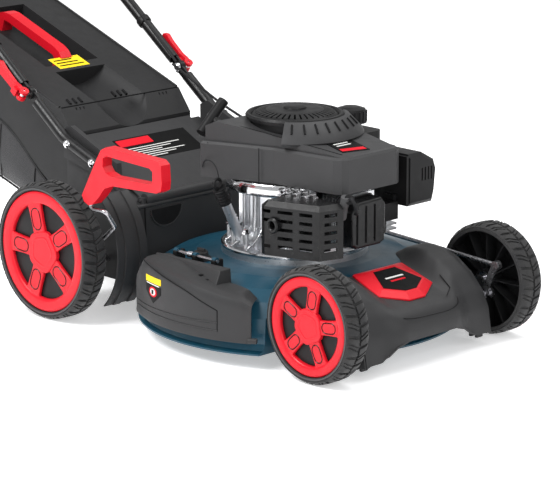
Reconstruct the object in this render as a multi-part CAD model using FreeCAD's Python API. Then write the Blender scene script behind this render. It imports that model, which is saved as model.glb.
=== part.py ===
"""Petrol rotary push lawn mower: round steel deck, four wheels, grass bag and folding handle.

Axes: +X is forwards, +Y is the operator's left, +Z is up. Everything is drawn about the crankshaft,
which stands at x = 0, y = 0 over the ground z = 0, and is then moved so that the origin is the middle
of the underside of the whole machine. Millimetres.
"""
import FreeCAD, Part
import math
import os

V = FreeCAD.Vector
X, Y, Z = V(1, 0, 0), V(0, 1, 0), V(0, 0, 1)
RIGHT, LEFT = -1, 1

# ---- running gear ----
WHEELBASE = 630.0
CRANK_AHEAD = 50.0               # crankshaft ahead of the middle of the wheelbase
FRONT_WHEEL_R = 101.5
REAR_WHEEL_R = 127.0
TYRE_WIDTH = 52.0
FRONT_HALF_WIDTH = 248.5         # outer faces of the front wheels
REAR_HALF_WIDTH = 302.5          # outer faces of the rear wheels
TYRE_DEPTH = 11.0
RIM_WALL = 3.0
COVER_INSET = 2.5                # red cover set in from the tyre's side
SPOKES = 5
SPINDLE_R = 6.0
BEARING_R = 14.0
BEARING_WIDTH = 9.0
AXLE_ROD_R = 6.0
ARM_THICK = 6.0
ARM_GAP = 4.5                    # between an arm and the wheel's inner face
FRONT_ARM = (-25.0, 17.5)        # from the front pivot back and up to the spindle
REAR_ARM = (-30.0, 30.0)
REAR_LUG = 75.0                  # arms that the link rod joins, and how far forward they lean
FRONT_LUG = 61.5
REAR_LEAN = math.radians(19.0)
FRONT_LEAN = math.radians(23.75)
LINK_Y = 181.0
LINK_R = 4.0

# ---- deck ----
DECK_R = 280.0
DECK_LIP = 12.0                  # rolled edge outside the wall
DECK_LOW = 27.0
DECK_TOP = 145.0
STEEL = 2.5
RAMP_START = 180.0               # the roof falls from here to the front
RAMP_SLOPE = 0.64
CRANK_HOLE_R = 60.0
WELL_GAP = 12.0                  # round a front wheel

# ---- plastics ----
PLASTIC = 3.0
GAP = 0.4                        # between pieces that move past each other
RUN = 0.05                       # radial running clearance of a shaft in its hole
COVER_HALF = 160.0               # front cover
COVER_MID = 108.0
HOUSING_HALF = 168.0             # rear housing
HOUSING_FRONT = -252.0
HOUSING_BACK = -445.0
HOUSING_FRONT_Z = 205.0
HOUSING_BACK_Z = 300.0
HOUSING_LOW = 60.0
TUNNEL_HALF = 125.0
TUNNEL_SILL = 80.0
TUNNEL_LIP = 150.0
FLAP_HALF = 142.0
FLAP_PIN_R = 2.5

# ---- side discharge flap ----
SIDE_R = 301.0
SIDE_FROM, SIDE_TO = -120.0, -61.0
SIDE_HINGE_Y = -222.0
SIDE_HINGE_Z = 166.0
SIDE_HINGE_X = (-88.0, 18.0)
SIDE_PIN_R = 3.0
CHUTE_X = 80.0
CHUTE_Z = (48.0, 108.0)

# ---- engine ----
BASE_R = 133.0
BASE_THICK = 9.0
CASE_X = -20.0
CASE_R = 92.0
CASE_TOP = 262.0
PLATE_R = 114.0
PLATE_TOP = 284.0
SHAFT_R = 12.5
THROW = 22.0
CRANK_Z = 212.0
BORE_R = 34.0
ROD_LENGTH = 75.0
HEAD_X = (125.0, 160.0)
HEAD_Y = (-68.0, 28.0)
HEAD_Z = (185.0, 276.0)
ROCKER_FRONT = 192.0
FLYWHEEL_R = 78.0
SHROUD_LOW = 286.0
SHROUD_TOP = 350.0
SHROUD_REAR_TOP = 386.0
SHROUD_NOSE = 181.0
RECOIL_X = -12.0
RECOIL_R = 88.0
RECOIL_TOP = 404.0
ROPE_R = 2.0
CAP_AT = (14.0, 117.0)
CAP_R = 29.0
TANK_X = (-75.0, 62.0)
TANK_Y = (88.5, 152.0)
FILTER_X = (76.0, 181.0)
FILTER_Y = (96.0, 169.0)
FILTER_Z = (237.0, 332.0)
BLADE_R = 235.0
BLADE_Z = 45.0
BLADE_THICK = 3.5

# ---- handle ----
HANDLE_Y = 190.0
TUBE_R = 11.0
TUBE_WALL = 1.8
FOOT = (-300.0, 268.0)           # x, z where the lower tubes start
ELBOW = (-425.0, 313.0)
PIVOT_X = -522.0
HANDLE_TILT = 36.5               # degrees above level
HANDLE_LENGTH = 1030.0
HANDLE_BEND = 60.0
TONGUE = 5.0                     # flattened tube end
PIVOT_R = 4.0
EYE_R = 5.5
CAM_PIN_R = 2.5
CABLE_R = 2.5
BAIL_R = 4.0
BAIL_TRAVEL = 24.0

# ---- bag ----
BAG_HALF = 150.0
BAG_FRONT = -450.0
BAG_FRONT_Z = 312.0
BAG_RIM_RUN = 32.0               # sloping front face of the hood
BAG_RIM_RISE = 42.0
HOOD_RISE = 0.356
HOOD_LENGTH = 465.0
SCOOP_R = 72.0
SCOOP_DEPTH = 33.0
SCOOP_LENGTH = 112.0
CLOTH = 3.0

# ---- places worked out from the sizes above ----
MID_X = -CRANK_AHEAD
FRONT_X = MID_X + WHEELBASE / 2
REAR_X = MID_X - WHEELBASE / 2
FRONT_PIVOT = V(FRONT_X - FRONT_ARM[0], 0, FRONT_WHEEL_R - FRONT_ARM[1])
REAR_PIVOT = V(REAR_X - REAR_ARM[0], 0, REAR_WHEEL_R - REAR_ARM[1])
FRONT_IN = FRONT_HALF_WIDTH - TYRE_WIDTH
REAR_IN = REAR_HALF_WIDTH - TYRE_WIDTH
TILT = math.radians(HANDLE_TILT)
ALONG = V(-math.cos(TILT), 0, math.sin(TILT))        # up the handle
ACROSS = V(math.sin(TILT), 0, math.cos(TILT))        # square to the handle, forwards and up
PIVOT = V(PIVOT_X, 0, ELBOW[1] + (ELBOW[0] - PIVOT_X) * math.tan(TILT))
HOUSING_SLOPE = (HOUSING_BACK_Z - HOUSING_FRONT_Z) / (HOUSING_FRONT - HOUSING_BACK)
REAR_LINK = REAR_PIVOT + V(REAR_LUG * math.sin(REAR_LEAN), LINK_Y, REAR_LUG * math.cos(REAR_LEAN))
FRONT_LINK = FRONT_PIVOT + V(FRONT_LUG * math.sin(FRONT_LEAN), LINK_Y, FRONT_LUG * math.cos(FRONT_LEAN))
FLAP_PIN = V(HOUSING_FRONT - 8, 0, HOUSING_FRONT_Z + 11)
HOOD_EDGE = V(BAG_FRONT - BAG_RIM_RUN, 0, BAG_FRONT_Z + BAG_RIM_RISE)
BASE_TOP = DECK_TOP + BASE_THICK
DIPSTICK_FOOT = V(-50, -100, 175)
DIPSTICK_WAY = V(0, -0.46, 0.888)
DIPSTICK_TUBE = 78.0
GUARD_PORT = V(104, -165, 236)    # middle of the ringed hole in the heat guard
GUARD_PORT_R = 7.0
GUARD_PORT_LENGTH = 12.0
GRIP_AT = V(-122, -87, 371)       # mouth of the starter rope's guide
GRIP_WAY = V(-0.8, 0, 0.6)
GRIP_BAR = V(0, 0.73, 0.68)


# ---- helpers ----
def box(x, y, z):
    """Block between pairs of limits."""
    return Part.makeBox(x[1] - x[0], y[1] - y[0], z[1] - z[0], V(x[0], y[0], z[0]))


def rod(start, end, radius):
    """Round bar from one point to another."""
    way = end - start
    return Part.makeCylinder(radius, way.Length, start, way)


def tube(start, end, outer, inner):
    return rod(start, end, outer).cut(rod(start, end, inner))


def plate_y(outline, y0, y1):
    """Outline of (x, z) points, drawn from y0 to y1."""
    points = [V(x, y0, z) for x, z in outline]
    return Part.Face(Part.makePolygon(points + points[:1])).extrude(V(0, y1 - y0, 0))


def plate_z(outline, z0, z1):
    """Outline of (x, y) points, drawn from z0 to z1."""
    points = [V(x, y, z0) for x, y in outline]
    return Part.Face(Part.makePolygon(points + points[:1])).extrude(V(0, 0, z1 - z0))


def plate_x(outline, x0, x1):
    """Outline of (y, z) points, drawn from x0 to x1."""
    points = [V(x0, y, z) for y, z in outline]
    return Part.Face(Part.makePolygon(points + points[:1])).extrude(V(x1 - x0, 0, 0))


def turned(outline, centre=V(0, 0, 0), axis=Z, angle=360.0, start=0.0):
    """Outline of (radius, height) points turned about an axis through centre."""
    points = [V(r, 0, h) for r, h in outline]
    solid = Part.Face(Part.makePolygon(points + points[:1])).revolve(V(0, 0, 0), Z, angle)
    solid.rotate(V(0, 0, 0), Z, start)
    solid.Placement = FreeCAD.Placement(centre, FreeCAD.Rotation(Z, axis)).multiply(solid.Placement)
    return solid


def swept(points, radius, bend):
    """Round bar along straight runs joined by arcs of radius bend."""
    edges = []
    start = points[0]
    for before, corner, after in zip(points, points[1:], points[2:]):
        into = (corner - before).normalize()
        out = (after - corner).normalize()
        turn = into.getAngle(out)
        cut = bend * math.tan(turn / 2)
        first = corner - into * cut
        last = corner + out * cut
        middle = corner + (out - into).normalize() * (bend / math.cos(turn / 2) - bend)
        edges.append(Part.LineSegment(start, first).toShape())
        edges.append(Part.Arc(first, middle, last).toShape())
        start = last
    edges.append(Part.LineSegment(start, points[-1]).toShape())
    path = Part.Wire(edges)
    circle = Part.Wire(Part.Circle(points[0], points[1] - points[0], radius).toShape())
    return path.makePipeShell([circle], True, True)


def swept_tube(points, radius, wall, bend):
    return swept(points, radius, bend).cut(swept(points, radius - wall, bend))


def both(make):
    """The right-hand piece and its mirror image."""
    piece = make()
    return [piece, piece.mirror(V(0, 0, 0), Y)]


def group(pieces):
    return Part.makeCompound(pieces)


def joined(first, *others):
    return first.fuse(list(others)).removeSplitter()


def offset_outline(outline, inset):
    """A closed (x, y) outline drawn in by inset."""
    points = [V(x, y, 0) for x, y in outline]
    wire = Part.makePolygon(points + points[:1])
    inner = wire.makeOffset2D(-inset, 2)
    return [(p.Point.x, p.Point.y) for p in inner.OrderedVertexes]


# ---- deck ----
def deck_profile(inset):
    """Half section of the deck, from the middle out to the rolled edge."""
    top = DECK_TOP - inset
    wall = DECK_R - inset
    return [(0, top), (150, top), (190, top - 3), (235, top - 13), (262, top - 30), (wall - 2, top - 56),
            (wall, 45)]


def wheel_wells(inset):
    """Room for the front wheels at every cutting height."""
    back = FRONT_X - FRONT_WHEEL_R - WELL_GAP - inset
    return [box((back, back + 3 * FRONT_WHEEL_R), sorted((side * (FRONT_IN - 6 - inset), side * 2 * DECK_R)),
                (-1, 3 * FRONT_WHEEL_R)) for side in (RIGHT, LEFT)]


def deck_solid(inset):
    """The deck as a filled body, with its sloping front and its wheel wells."""
    low = DECK_LOW - 1 if inset else DECK_LOW
    outline = deck_profile(inset) + [(DECK_R - inset, low), (0, low)]
    fall = 2 * DECK_R
    start_z = DECK_TOP - inset
    front = [(RAMP_START, start_z), (RAMP_START + fall, start_z - fall * RAMP_SLOPE),
             (RAMP_START + fall, 2 * start_z), (RAMP_START, 2 * start_z)]
    return turned(outline).cut([plate_y(front, -DECK_R, DECK_R)] + wheel_wells(inset))


def deck_shell():
    lip = turned([(DECK_R - STEEL, DECK_LOW), (DECK_R + DECK_LIP, DECK_LOW),
                  (DECK_R + DECK_LIP, DECK_LOW + 3), (DECK_R + 4, DECK_LOW + 7),
                  (DECK_R, DECK_LOW + 18), (DECK_R - STEEL, DECK_LOW + 18)])
    shell = deck_solid(0).cut(deck_solid(STEEL)).fuse(lip)
    crank_hole = rod(V(0, 0, 0), V(0, 0, 2 * DECK_TOP), CRANK_HOLE_R)
    rear_way = box((-DECK_R - 20, HOUSING_FRONT - PLASTIC), (-TUNNEL_HALF + 15, TUNNEL_HALF - 15),
                   (TUNNEL_SILL, 2 * DECK_TOP))
    chute = box((-CHUTE_X, CHUTE_X), (-DECK_R - 20, -DECK_R + 60), CHUTE_Z)
    bolt_holes = [rod(p, p + V(0, 0, 60), 4.2) for p in engine_bolt_points(DECK_TOP - 30)]
    shell = shell.cut([crank_hole, rear_way, chute] + bolt_holes + wheel_wells(0))
    return joined(shell, side_hinge_base(), *front_axle_brackets())


# ---- front cover ----
def fender_outline(inset):
    """Side view of a front fender."""
    back = FRONT_X - 147 + inset
    nose = FRONT_X + 57 - inset
    top = 163 - inset
    return [(back, DECK_LOW + 33), (back, 112), (back + 18, top - 18), (back + 42, top - 4),
            (back + 62, top), (back + 88, top - 3), (back + 122, top - 15), (nose - 50, top - 36),
            (nose - 22, top - 65), (nose - 8, top - 93), (nose, 24), (nose, 20), (nose - 40, 20),
            (nose - 60, DECK_LOW + 33)]


def cover_outline(inset):
    """Side view of the front cover at the middle."""
    nose = FRONT_X + 63 - inset
    top = 141 - inset
    return [(FRONT_X - 85 + inset, DECK_LOW + 30), (FRONT_X - 85 + inset, top), (FRONT_X - 70, top - 1),
            (FRONT_X - 3, top - 23), (FRONT_X + 35, top - 37), (nose - 6, top - 54),
            (nose, top - 75), (nose, 30), (nose - 30, 30)]


def cover_body(inset):
    sides = [plate_y(fender_outline(inset), side * (COVER_MID - 4 + inset), side * (COVER_HALF - inset))
             for side in (RIGHT, LEFT)]
    middle = plate_y(cover_outline(inset), -COVER_MID, COVER_MID)
    return middle.fuse(sides)


def front_cover():
    hollow = cover_body(PLASTIC)
    under = box((0, FRONT_X + 40), (-COVER_HALF, COVER_HALF), (0, DECK_LOW + 40))
    arch = plate_x([(-128, 0), (-128, 20), (-104, 36), (-86, 46), (-60, 54), (60, 54), (86, 46), (104, 36),
                    (128, 20), (128, 0)], FRONT_X, FRONT_X + 90)
    inside_fender = [box((FRONT_X - 143, FRONT_X + 54), (side * 134 - 23, side * 134 + 23), (0, 40))
                     for side in (RIGHT, LEFT)]
    axle_hole = rod(FRONT_PIVOT - Y * 200, FRONT_PIVOT + Y * 200, AXLE_ROD_R + 1)
    clear_deck = deck_solid(0)
    shell = cover_body(0).cut([hollow, arch, under, clear_deck, axle_hole] + inside_fender)
    return max(shell.Solids, key=lambda s: s.Volume)


def front_badge():
    """Six-sided faceted badge lying on the cover's sloping top."""
    slope = math.atan2(23, 67)
    rear, side, front = -72.0, 3.0, 32.0
    outline = [(rear, -58), (rear + 2, -63), (side, -68), (front, -20), (front, 20), (side, 68),
               (rear + 2, 63), (rear, 58)]
    plate = plate_z(outline, 0.3, 5)
    top = plate_z(offset_outline(outline, 9), 5, 7)
    badge = joined(plate, top)
    badge.rotate(V(0, 0, 0), Y, math.degrees(slope))
    badge.translate(V(FRONT_X - 3, 0, 118))
    return badge.cut(cover_body(0))


# ---- rear housing ----
def housing_top(x):
    return HOUSING_FRONT_Z + (HOUSING_FRONT - x) * HOUSING_SLOPE


def rear_housing():
    side_view = [(HOUSING_FRONT, DECK_LOW + 40), (HOUSING_FRONT, HOUSING_FRONT_Z),
                 (HOUSING_BACK, HOUSING_BACK_Z), (HOUSING_BACK, HOUSING_LOW), (-300, HOUSING_LOW)]
    body = plate_y(side_view, -HOUSING_HALF, HOUSING_HALF)
    front_in = HOUSING_FRONT - PLASTIC
    tunnel = plate_y([(front_in, TUNNEL_SILL), (-290, TUNNEL_SILL), (HOUSING_BACK - 5, TUNNEL_LIP),
                      (HOUSING_BACK - 5, 400), (-278, 400), (-278, housing_top(-278) - 20),
                      (front_in, housing_top(front_in) - 20)], -TUNNEL_HALF, TUNNEL_HALF)
    under_ramp = plate_y([(front_in, 0), (front_in, TUNNEL_SILL - PLASTIC), (-290, TUNNEL_SILL - PLASTIC),
                          (HOUSING_BACK + PLASTIC, TUNNEL_LIP - PLASTIC), (HOUSING_BACK + PLASTIC, 0)],
                         -TUNNEL_HALF - PLASTIC - 1, TUNNEL_HALF + PLASTIC + 1)
    cavities = []
    for side in (RIGHT, LEFT):
        cavities.append(plate_y([(front_in, 0), (front_in, housing_top(front_in) - PLASTIC),
                                 (HOUSING_BACK + PLASTIC, housing_top(HOUSING_BACK + PLASTIC) - PLASTIC),
                                 (HOUSING_BACK + PLASTIC, 0)],
                                side * (TUNNEL_HALF + PLASTIC), side * (HOUSING_HALF - PLASTIC)))
    axle_hole = rod(REAR_PIVOT - Y * 250, REAR_PIVOT + Y * 250, AXLE_ROD_R + 3)
    bolts = [rod(V(x, -200, z), V(x, 200, z), PIVOT_R + RUN) for x, z in bracket_bolt_points()]
    shell = body.cut([tunnel, under_ramp, deck_solid(0), axle_hole] + cavities + bolts)
    lugs = []
    for side in (RIGHT, LEFT):
        y = sorted((side * (FLAP_HALF + 3), side * (FLAP_HALF + 9)))
        lug = plate_y([(HOUSING_FRONT, HOUSING_FRONT_Z - 4), (HOUSING_FRONT, FLAP_PIN.z + 5),
                       (FLAP_PIN.x - 7, FLAP_PIN.z + 5), (FLAP_PIN.x - 9, housing_top(FLAP_PIN.x - 9) - 1)],
                      y[0], y[1])
        lugs.append(lug.cut(rod(FLAP_PIN - Y * 200, FLAP_PIN + Y * 200, FLAP_PIN_R)))
    shell = max(shell.Solids, key=lambda s: s.Volume)
    guards = [rear_guard(side) for side in (RIGHT, LEFT)]
    return joined(shell, *lugs, *guards, *rear_bushes())


def rear_guard(side):
    """Ribbed arc in front of a rear wheel, round the wheel's own centre."""
    inner = REAR_WHEEL_R + 8
    start = HOUSING_HALF - 1
    centre = V(REAR_X, side * start, REAR_WHEEL_R)
    steps = 4
    band = (REAR_IN - 15 - start) / steps
    outline = [(inner, 0)]
    for step in range(steps):
        lift = 3.0 if step % 2 else 6.0
        outline += [(inner + lift, step * band), (inner + lift, (step + 1) * band)]
    outline.append((inner, steps * band))
    arc = turned(outline, centre, Y * side)
    low = box((REAR_X - 200, REAR_X + 250), (-300, 300), (-200, DECK_LOW + 3))
    high = box((REAR_X - 200, REAR_X + 250), (-300, 300), (FOOT[1] - 32, 400))
    behind = box((REAR_X - 250, REAR_X + 20), (-300, 300), (0, 400))
    rod_way = box((REAR_X + 100, REAR_X + 160), (LINK_Y - LINK_R - 2, LINK_Y + LINK_R + 2), (120, 185))
    return arc.cut([low, high, behind, deck_solid(0), rod_way])


# ---- side discharge ----
def side_flap():
    """Hood over the side outlet, hinged along its top edge."""
    wall = PLASTIC
    outer = [(226, 164), (250, 160), (284, 147), (297, 133), (SIDE_R, 116), (SIDE_R, 50)]
    inner = [(SIDE_R - wall, 50), (SIDE_R - wall, 115), (295, 130), (282, 143.5), (249, 156.5), (226, 160.5)]
    sweep = SIDE_TO - SIDE_FROM
    skin = turned(outer + inner, angle=sweep, start=SIDE_FROM)
    end = [(226, 160.5), (249, 156.5), (282, 143.5), (295, 130), (SIDE_R - wall, 115), (SIDE_R - wall, 50),
           (DECK_R + 4, 50), (DECK_R + 4, 96), (268, 120), (240, 137), (226, 141)]
    thick = 0.7
    ends = [turned(end, angle=thick, start=start) for start in (SIDE_FROM, SIDE_TO - thick)]
    flap = skin.fuse(ends).common(box((-300, 300), (-400, SIDE_HINGE_Y - 6.8), (0, 300)))
    barrels = []
    first, last = SIDE_HINGE_X
    for x0, x1 in ((first + 9, first + 32), (last - 32, last - 9)):
        knuckle = rod(V(x0, SIDE_HINGE_Y, SIDE_HINGE_Z), V(x1, SIDE_HINGE_Y, SIDE_HINGE_Z), 6)
        leaf = box((x0, x1), (SIDE_HINGE_Y - 12, SIDE_HINGE_Y), (SIDE_HINGE_Z - 6, SIDE_HINGE_Z - 3))
        barrels += [knuckle, leaf]
    pocket = plate_x([(-248, 158), (-248, 166), (-275, 160), (-296, 145), (-296, 132)], 28, 62)
    flap = joined(flap, *barrels, pocket)
    hole = rod(V(first, SIDE_HINGE_Y, SIDE_HINGE_Z), V(last, SIDE_HINGE_Y, SIDE_HINGE_Z), SIDE_PIN_R + RUN)
    return flap.cut(hole)


def side_hinge_base():
    first, last = SIDE_HINGE_X
    middle = (first + last) / 2
    lugs = []
    for x0, x1 in ((first, first + 8.5), (middle - 4, middle + 4), (last - 8.5, last)):
        lug = box((x0, x1), (SIDE_HINGE_Y - 5, SIDE_HINGE_Y + 14), (DECK_TOP - 20, SIDE_HINGE_Z))
        lugs += [lug, rod(V(x0, SIDE_HINGE_Y, SIDE_HINGE_Z), V(x1, SIDE_HINGE_Y, SIDE_HINGE_Z), 6)]
    foot = box((first, last), (SIDE_HINGE_Y + 3, SIDE_HINGE_Y + 24), (DECK_TOP - 20, DECK_TOP + 2))
    hole = rod(V(first - 5, SIDE_HINGE_Y, SIDE_HINGE_Z), V(last + 5, SIDE_HINGE_Y, SIDE_HINGE_Z), SIDE_PIN_R)
    return joined(foot, *lugs).cut([hole, deck_solid(0)])


def hinge_pins():
    """Pins of the side and rear flaps, and the side flap's torsion spring round its pin."""
    first, last = SIDE_HINGE_X
    side_pin = rod(V(first - 3, SIDE_HINGE_Y, SIDE_HINGE_Z), V(last + 3, SIDE_HINGE_Y, SIDE_HINGE_Z), SIDE_PIN_R)
    half = FLAP_HALF + 11
    rear_pin = rod(FLAP_PIN - Y * half, FLAP_PIN + Y * half, FLAP_PIN_R)
    coils = [Part.makeTorus(SIDE_PIN_R + 1.4, 0.9, V(first + 34.5 + 2 * turn, SIDE_HINGE_Y, SIDE_HINGE_Z), X)
             for turn in range(6)]
    return group([side_pin, rear_pin] + coils)


def rear_flap():
    """Sloping door over the bag tunnel, hinged at its front edge."""
    front, back = FLAP_PIN.x, HOUSING_BACK - 1
    lift = 2.0
    def level(x, up):
        return housing_top(x) + lift + up
    skin = plate_y([(front, level(front, 0)), (front, level(front, PLASTIC)),
                    (back, level(back, PLASTIC)), (back, level(back, 0))], -FLAP_HALF, FLAP_HALF)
    rib = plate_y([(front - 30, level(front - 30, 0)), (back, level(back, 0)), (back, level(back, -9)),
                   (front - 30, level(front - 30, -9))], -TUNNEL_HALF + 2, TUNNEL_HALF - 2)
    rib = rib.cut(box((back + PLASTIC, front - 33), (-TUNNEL_HALF + 5, TUNNEL_HALF - 5), (0, 400)))
    barrel = rod(FLAP_PIN - Y * FLAP_HALF, FLAP_PIN + Y * FLAP_HALF, 5)
    hole = rod(FLAP_PIN - Y * 300, FLAP_PIN + Y * 300, FLAP_PIN_R + RUN)
    return joined(skin, rib, barrel).cut(hole)


# ---- handle ----
def bracket_bolt_points():
    """Two bolts through each lower tube: on the tube's own line from foot to elbow."""
    return [(FOOT[0] + share * (ELBOW[0] - FOOT[0]), FOOT[1] + share * (ELBOW[1] - FOOT[1]))
            for share in (0.3, 0.85)]


def handle_brackets():
    outline = [(FOOT[0] + 12, FOOT[1] - 30), (FOOT[0] + 8, FOOT[1] + 16), (ELBOW[0] + 4, ELBOW[1] + 22),
               (ELBOW[0] - 16, ELBOW[1] + 12), (ELBOW[0] - 16, ELBOW[1] - 40)]
    holes = [rod(V(x, -300, z), V(x, 300, z), PIVOT_R + RUN) for x, z in bracket_bolt_points()]
    outside = HANDLE_Y - TUBE_R - 0.1
    return group(both(lambda: plate_y(outline, -outside, -HOUSING_HALF).cut(holes)))


def lower_end():
    return PIVOT - ALONG * 26


def lower_handle():
    def one():
        y = V(0, -HANDLE_Y, 0)
        points = [V(FOOT[0], 0, FOOT[1]) + y, V(ELBOW[0], 0, ELBOW[1]) + y, lower_end() + y]
        bar = swept_tube(points, TUBE_R, TUBE_WALL, 60)
        holes = [rod(V(x, -300, z), V(x, 300, z), PIVOT_R + RUN) for x, z in bracket_bolt_points()]
        inner_face = -HANDLE_Y + GAP / 2
        tongue = box((-12, 34), (inner_face, inner_face + TONGUE), (-9, 9))
        tongue.rotate(V(0, 0, 0), Y, 180 + HANDLE_TILT)
        tongue.translate(lower_end())
        boss = rod(PIVOT + Y * inner_face, PIVOT + Y * (inner_face + TONGUE), 12)
        flat = joined(tongue, boss).cut(rod(PIVOT - Y * 300, PIVOT + Y * 300, PIVOT_R + RUN))
        return joined(bar.cut(holes), flat)
    return group(both(one))


def pivot_bolts():
    """Clamp bolts through the handle joint, head inside and cam eye outside."""
    def one():
        head = turned([(0, 0), (9, 0), (8, 3), (5, 5), (0, 6)], PIVOT - Y * (HANDLE_Y - TONGUE - 1.4), Y)
        shank = rod(PIVOT - Y * (HANDLE_Y - TONGUE - 4), eye_centre(), PIVOT_R)
        eye = rod(eye_centre() - ACROSS * 4, eye_centre() + ACROSS * 4, EYE_R)
        pin = rod(eye_centre() - ACROSS * 9, eye_centre() + ACROSS * 9, CAM_PIN_R)
        return joined(shank, head, eye, pin)
    return group(both(one))


def eye_centre():
    """Middle of the right-hand clamp bolt's eye."""
    return PIVOT - Y * (HANDLE_Y + TONGUE + 13)


def cam_lever(side):
    """Red quick-release lever lying up along the tube."""
    fork = []
    for way in (-1, 1):
        cheek = rod(eye_centre() + ACROSS * way * 4.6, eye_centre() + ACROSS * way * 10.5, 9)
        fork.append(cheek)
    arm_outline = [(-2, -9), (12, -10), (26, -7), (60, -8), (78, -11), (86, -6), (86, 6), (78, 11), (60, 8),
                   (26, 7), (12, 10), (-2, 9)]
    arm = plate_z(arm_outline, -4, 5)
    slot = box((-20, 7), (-30, 30), (-4.6, 4.6))
    blade = box((6, 20), (-9, 4), (-10, 10))
    lever = joined(arm, blade)
    lever.rotate(V(0, 0, 0), X, 90)
    turn = FreeCAD.Matrix(ALONG.x, 0, ACROSS.x, 0, 0, 1, 0, 0, ALONG.z, 0, ACROSS.z, 0, 0, 0, 0, 1)
    lever = lever.transformGeometry(turn)
    lever.translate(eye_centre() - Y * 2)
    hollow = rod(eye_centre() - ACROSS * 4.6, eye_centre() + ACROSS * 4.6, 12)
    pin_hole = rod(eye_centre() - ACROSS * 20, eye_centre() + ACROSS * 20, CAM_PIN_R + RUN)
    lever = joined(lever, *fork).cut([hollow, pin_hole])
    whole = max(lever.Solids, key=lambda s: s.Volume)
    return whole if side == RIGHT else whole.mirror(V(0, 0, 0), Y)


def handle_point(distance, side=0, off=0.0):
    """A point up the upper handle from its pivot."""
    return PIVOT + ALONG * distance + Y * side * HANDLE_Y + ACROSS * off


def upper_handle():
    start, end = 22.0, HANDLE_LENGTH
    route = [handle_point(start, RIGHT), handle_point(end, RIGHT), handle_point(end, LEFT), handle_point(start, LEFT)]
    bar = swept_tube(route, TUBE_R, TUBE_WALL, HANDLE_BEND)
    tongues = []
    for side in (RIGHT, LEFT):
        y = sorted((side * (HANDLE_Y + GAP / 2), side * (HANDLE_Y + GAP / 2 + TONGUE)))
        flat = box((-36, 4), (y[0], y[1]), (-9, 9))
        flat.rotate(V(0, 0, 0), Y, HANDLE_TILT)
        flat.translate(PIVOT)
        boss = rod(PIVOT + Y * y[0], PIVOT + Y * y[1], 12)
        tongues += [flat, boss]
    bore = rod(PIVOT - Y * 300, PIVOT + Y * 300, PIVOT_R)
    guide = [Part.makeTorus(9, 2.5, handle_point(520, RIGHT, TUBE_R + 8), Y)]
    bail_holes = rod(bail_pivot() - Y * (HANDLE_Y + 4), bail_pivot() + Y * (HANDLE_Y + 4), 3 + RUN)
    return joined(bar, *tongues, *guide).cut([bore, bail_holes])


def bail_pivot():
    return handle_point(HANDLE_LENGTH - 190, 0, 0)


def bail():
    """Engine-stop bail: a rod over the grip, hinged on the legs, standing off the handle when let go."""
    inside = HANDLE_Y - TUBE_R - BAIL_R - 3 * GAP
    start = bail_pivot()
    swing = math.radians(BAIL_TRAVEL)
    off = TUBE_R + BAIL_R + 1
    way = ALONG * math.cos(swing) + ACROSS * math.sin(swing)
    reach = 186.0
    corner = start + way * reach + ACROSS * off * 0.3
    right, left = V(0, -inside, 0), V(0, inside, 0)
    route = [start + right, corner + right, corner + left, start + left]
    bar = swept(route, BAIL_R, 40)
    eyes = [rod(start + Y * (side * inside), start + Y * (side * (HANDLE_Y + 3)), 3) for side in (RIGHT, LEFT)]
    knobs = [rod(start + Y * (side * (inside - 3.5)), start + Y * (side * (inside + BAIL_R + GAP)), 7)
             for side in (RIGHT, LEFT)]
    return joined(bar, *eyes, *knobs)


def cable_lower():
    """Brake cable from the left tube, past the joint, down to the engine."""
    points = [PIVOT + Y * (HANDLE_Y - 28) + ACROSS * 14 - ALONG * 2, V(-470, HANDLE_Y - 30, 378), V(-366, 160, 332),
              V(-240, 156, 300), V(-165, 142, 268), V(-112, 112, 262)]
    return swept(points, CABLE_R, 40)


def cable_upper():
    points = [PIVOT + Y * (HANDLE_Y - 16) + ACROSS * 14 + ALONG * 2, handle_point(120, 0, 15) + Y * (HANDLE_Y - 12),
              handle_point(420, 0, 14.5) + Y * (HANDLE_Y - 3),
              handle_point(HANDLE_LENGTH - 200, 0, 14.5) + Y * (HANDLE_Y - 6)]
    return swept(points, CABLE_R, 120)


# ---- running gear ----
def wheel_radius(front):
    return FRONT_WHEEL_R if front else REAR_WHEEL_R


def wheel_centre(front, side):
    """Middle of the wheel's inner face."""
    if front:
        return V(FRONT_X, side * FRONT_IN, FRONT_WHEEL_R)
    return V(REAR_X, side * REAR_IN, REAR_WHEEL_R)


def tyre(front, side):
    radius = wheel_radius(front)
    inside = radius - TYRE_DEPTH
    return turned([(inside, 0), (radius - 5, 0), (radius - 1, 4), (radius, 12), (radius, TYRE_WIDTH - 12),
                   (radius - 1, TYRE_WIDTH - 4), (radius - 5, TYRE_WIDTH), (inside, TYRE_WIDTH)],
                  wheel_centre(front, side), Y * side)


def wheel_disc(front, side):
    """Dark wheel: barrel, web, hub and stiffening ribs on the inner side."""
    outside = wheel_radius(front) - TYRE_DEPTH
    web = TYRE_WIDTH - 16
    hub = BEARING_R + 4
    barrel = [(outside, 2), (outside, TYRE_WIDTH - 4), (outside - RIM_WALL, TYRE_WIDTH - 4),
              (outside - RIM_WALL, web + 4), (hub, web + 4), (BEARING_R - 3, web + 4), (BEARING_R - 3, web - 4),
              (BEARING_R + RUN, web - 4), (BEARING_R + RUN, 5), (hub, 5), (hub, web),
              (outside - RIM_WALL, web), (outside - RIM_WALL, 2)]
    centre = wheel_centre(front, side)
    disc = turned(barrel, centre, Y * side)
    ribs = []
    count = 12
    for number in range(count):
        rib = box((hub - 1, outside - RIM_WALL + 1), (-1.2, 1.2), (12, web + 1))
        rib.rotate(V(0, 0, 0), Z, number * 360.0 / count)
        rib.Placement = FreeCAD.Placement(centre, FreeCAD.Rotation(Z, Y * side)).multiply(rib.Placement)
        ribs.append(rib)
    return joined(disc, *ribs)


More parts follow.
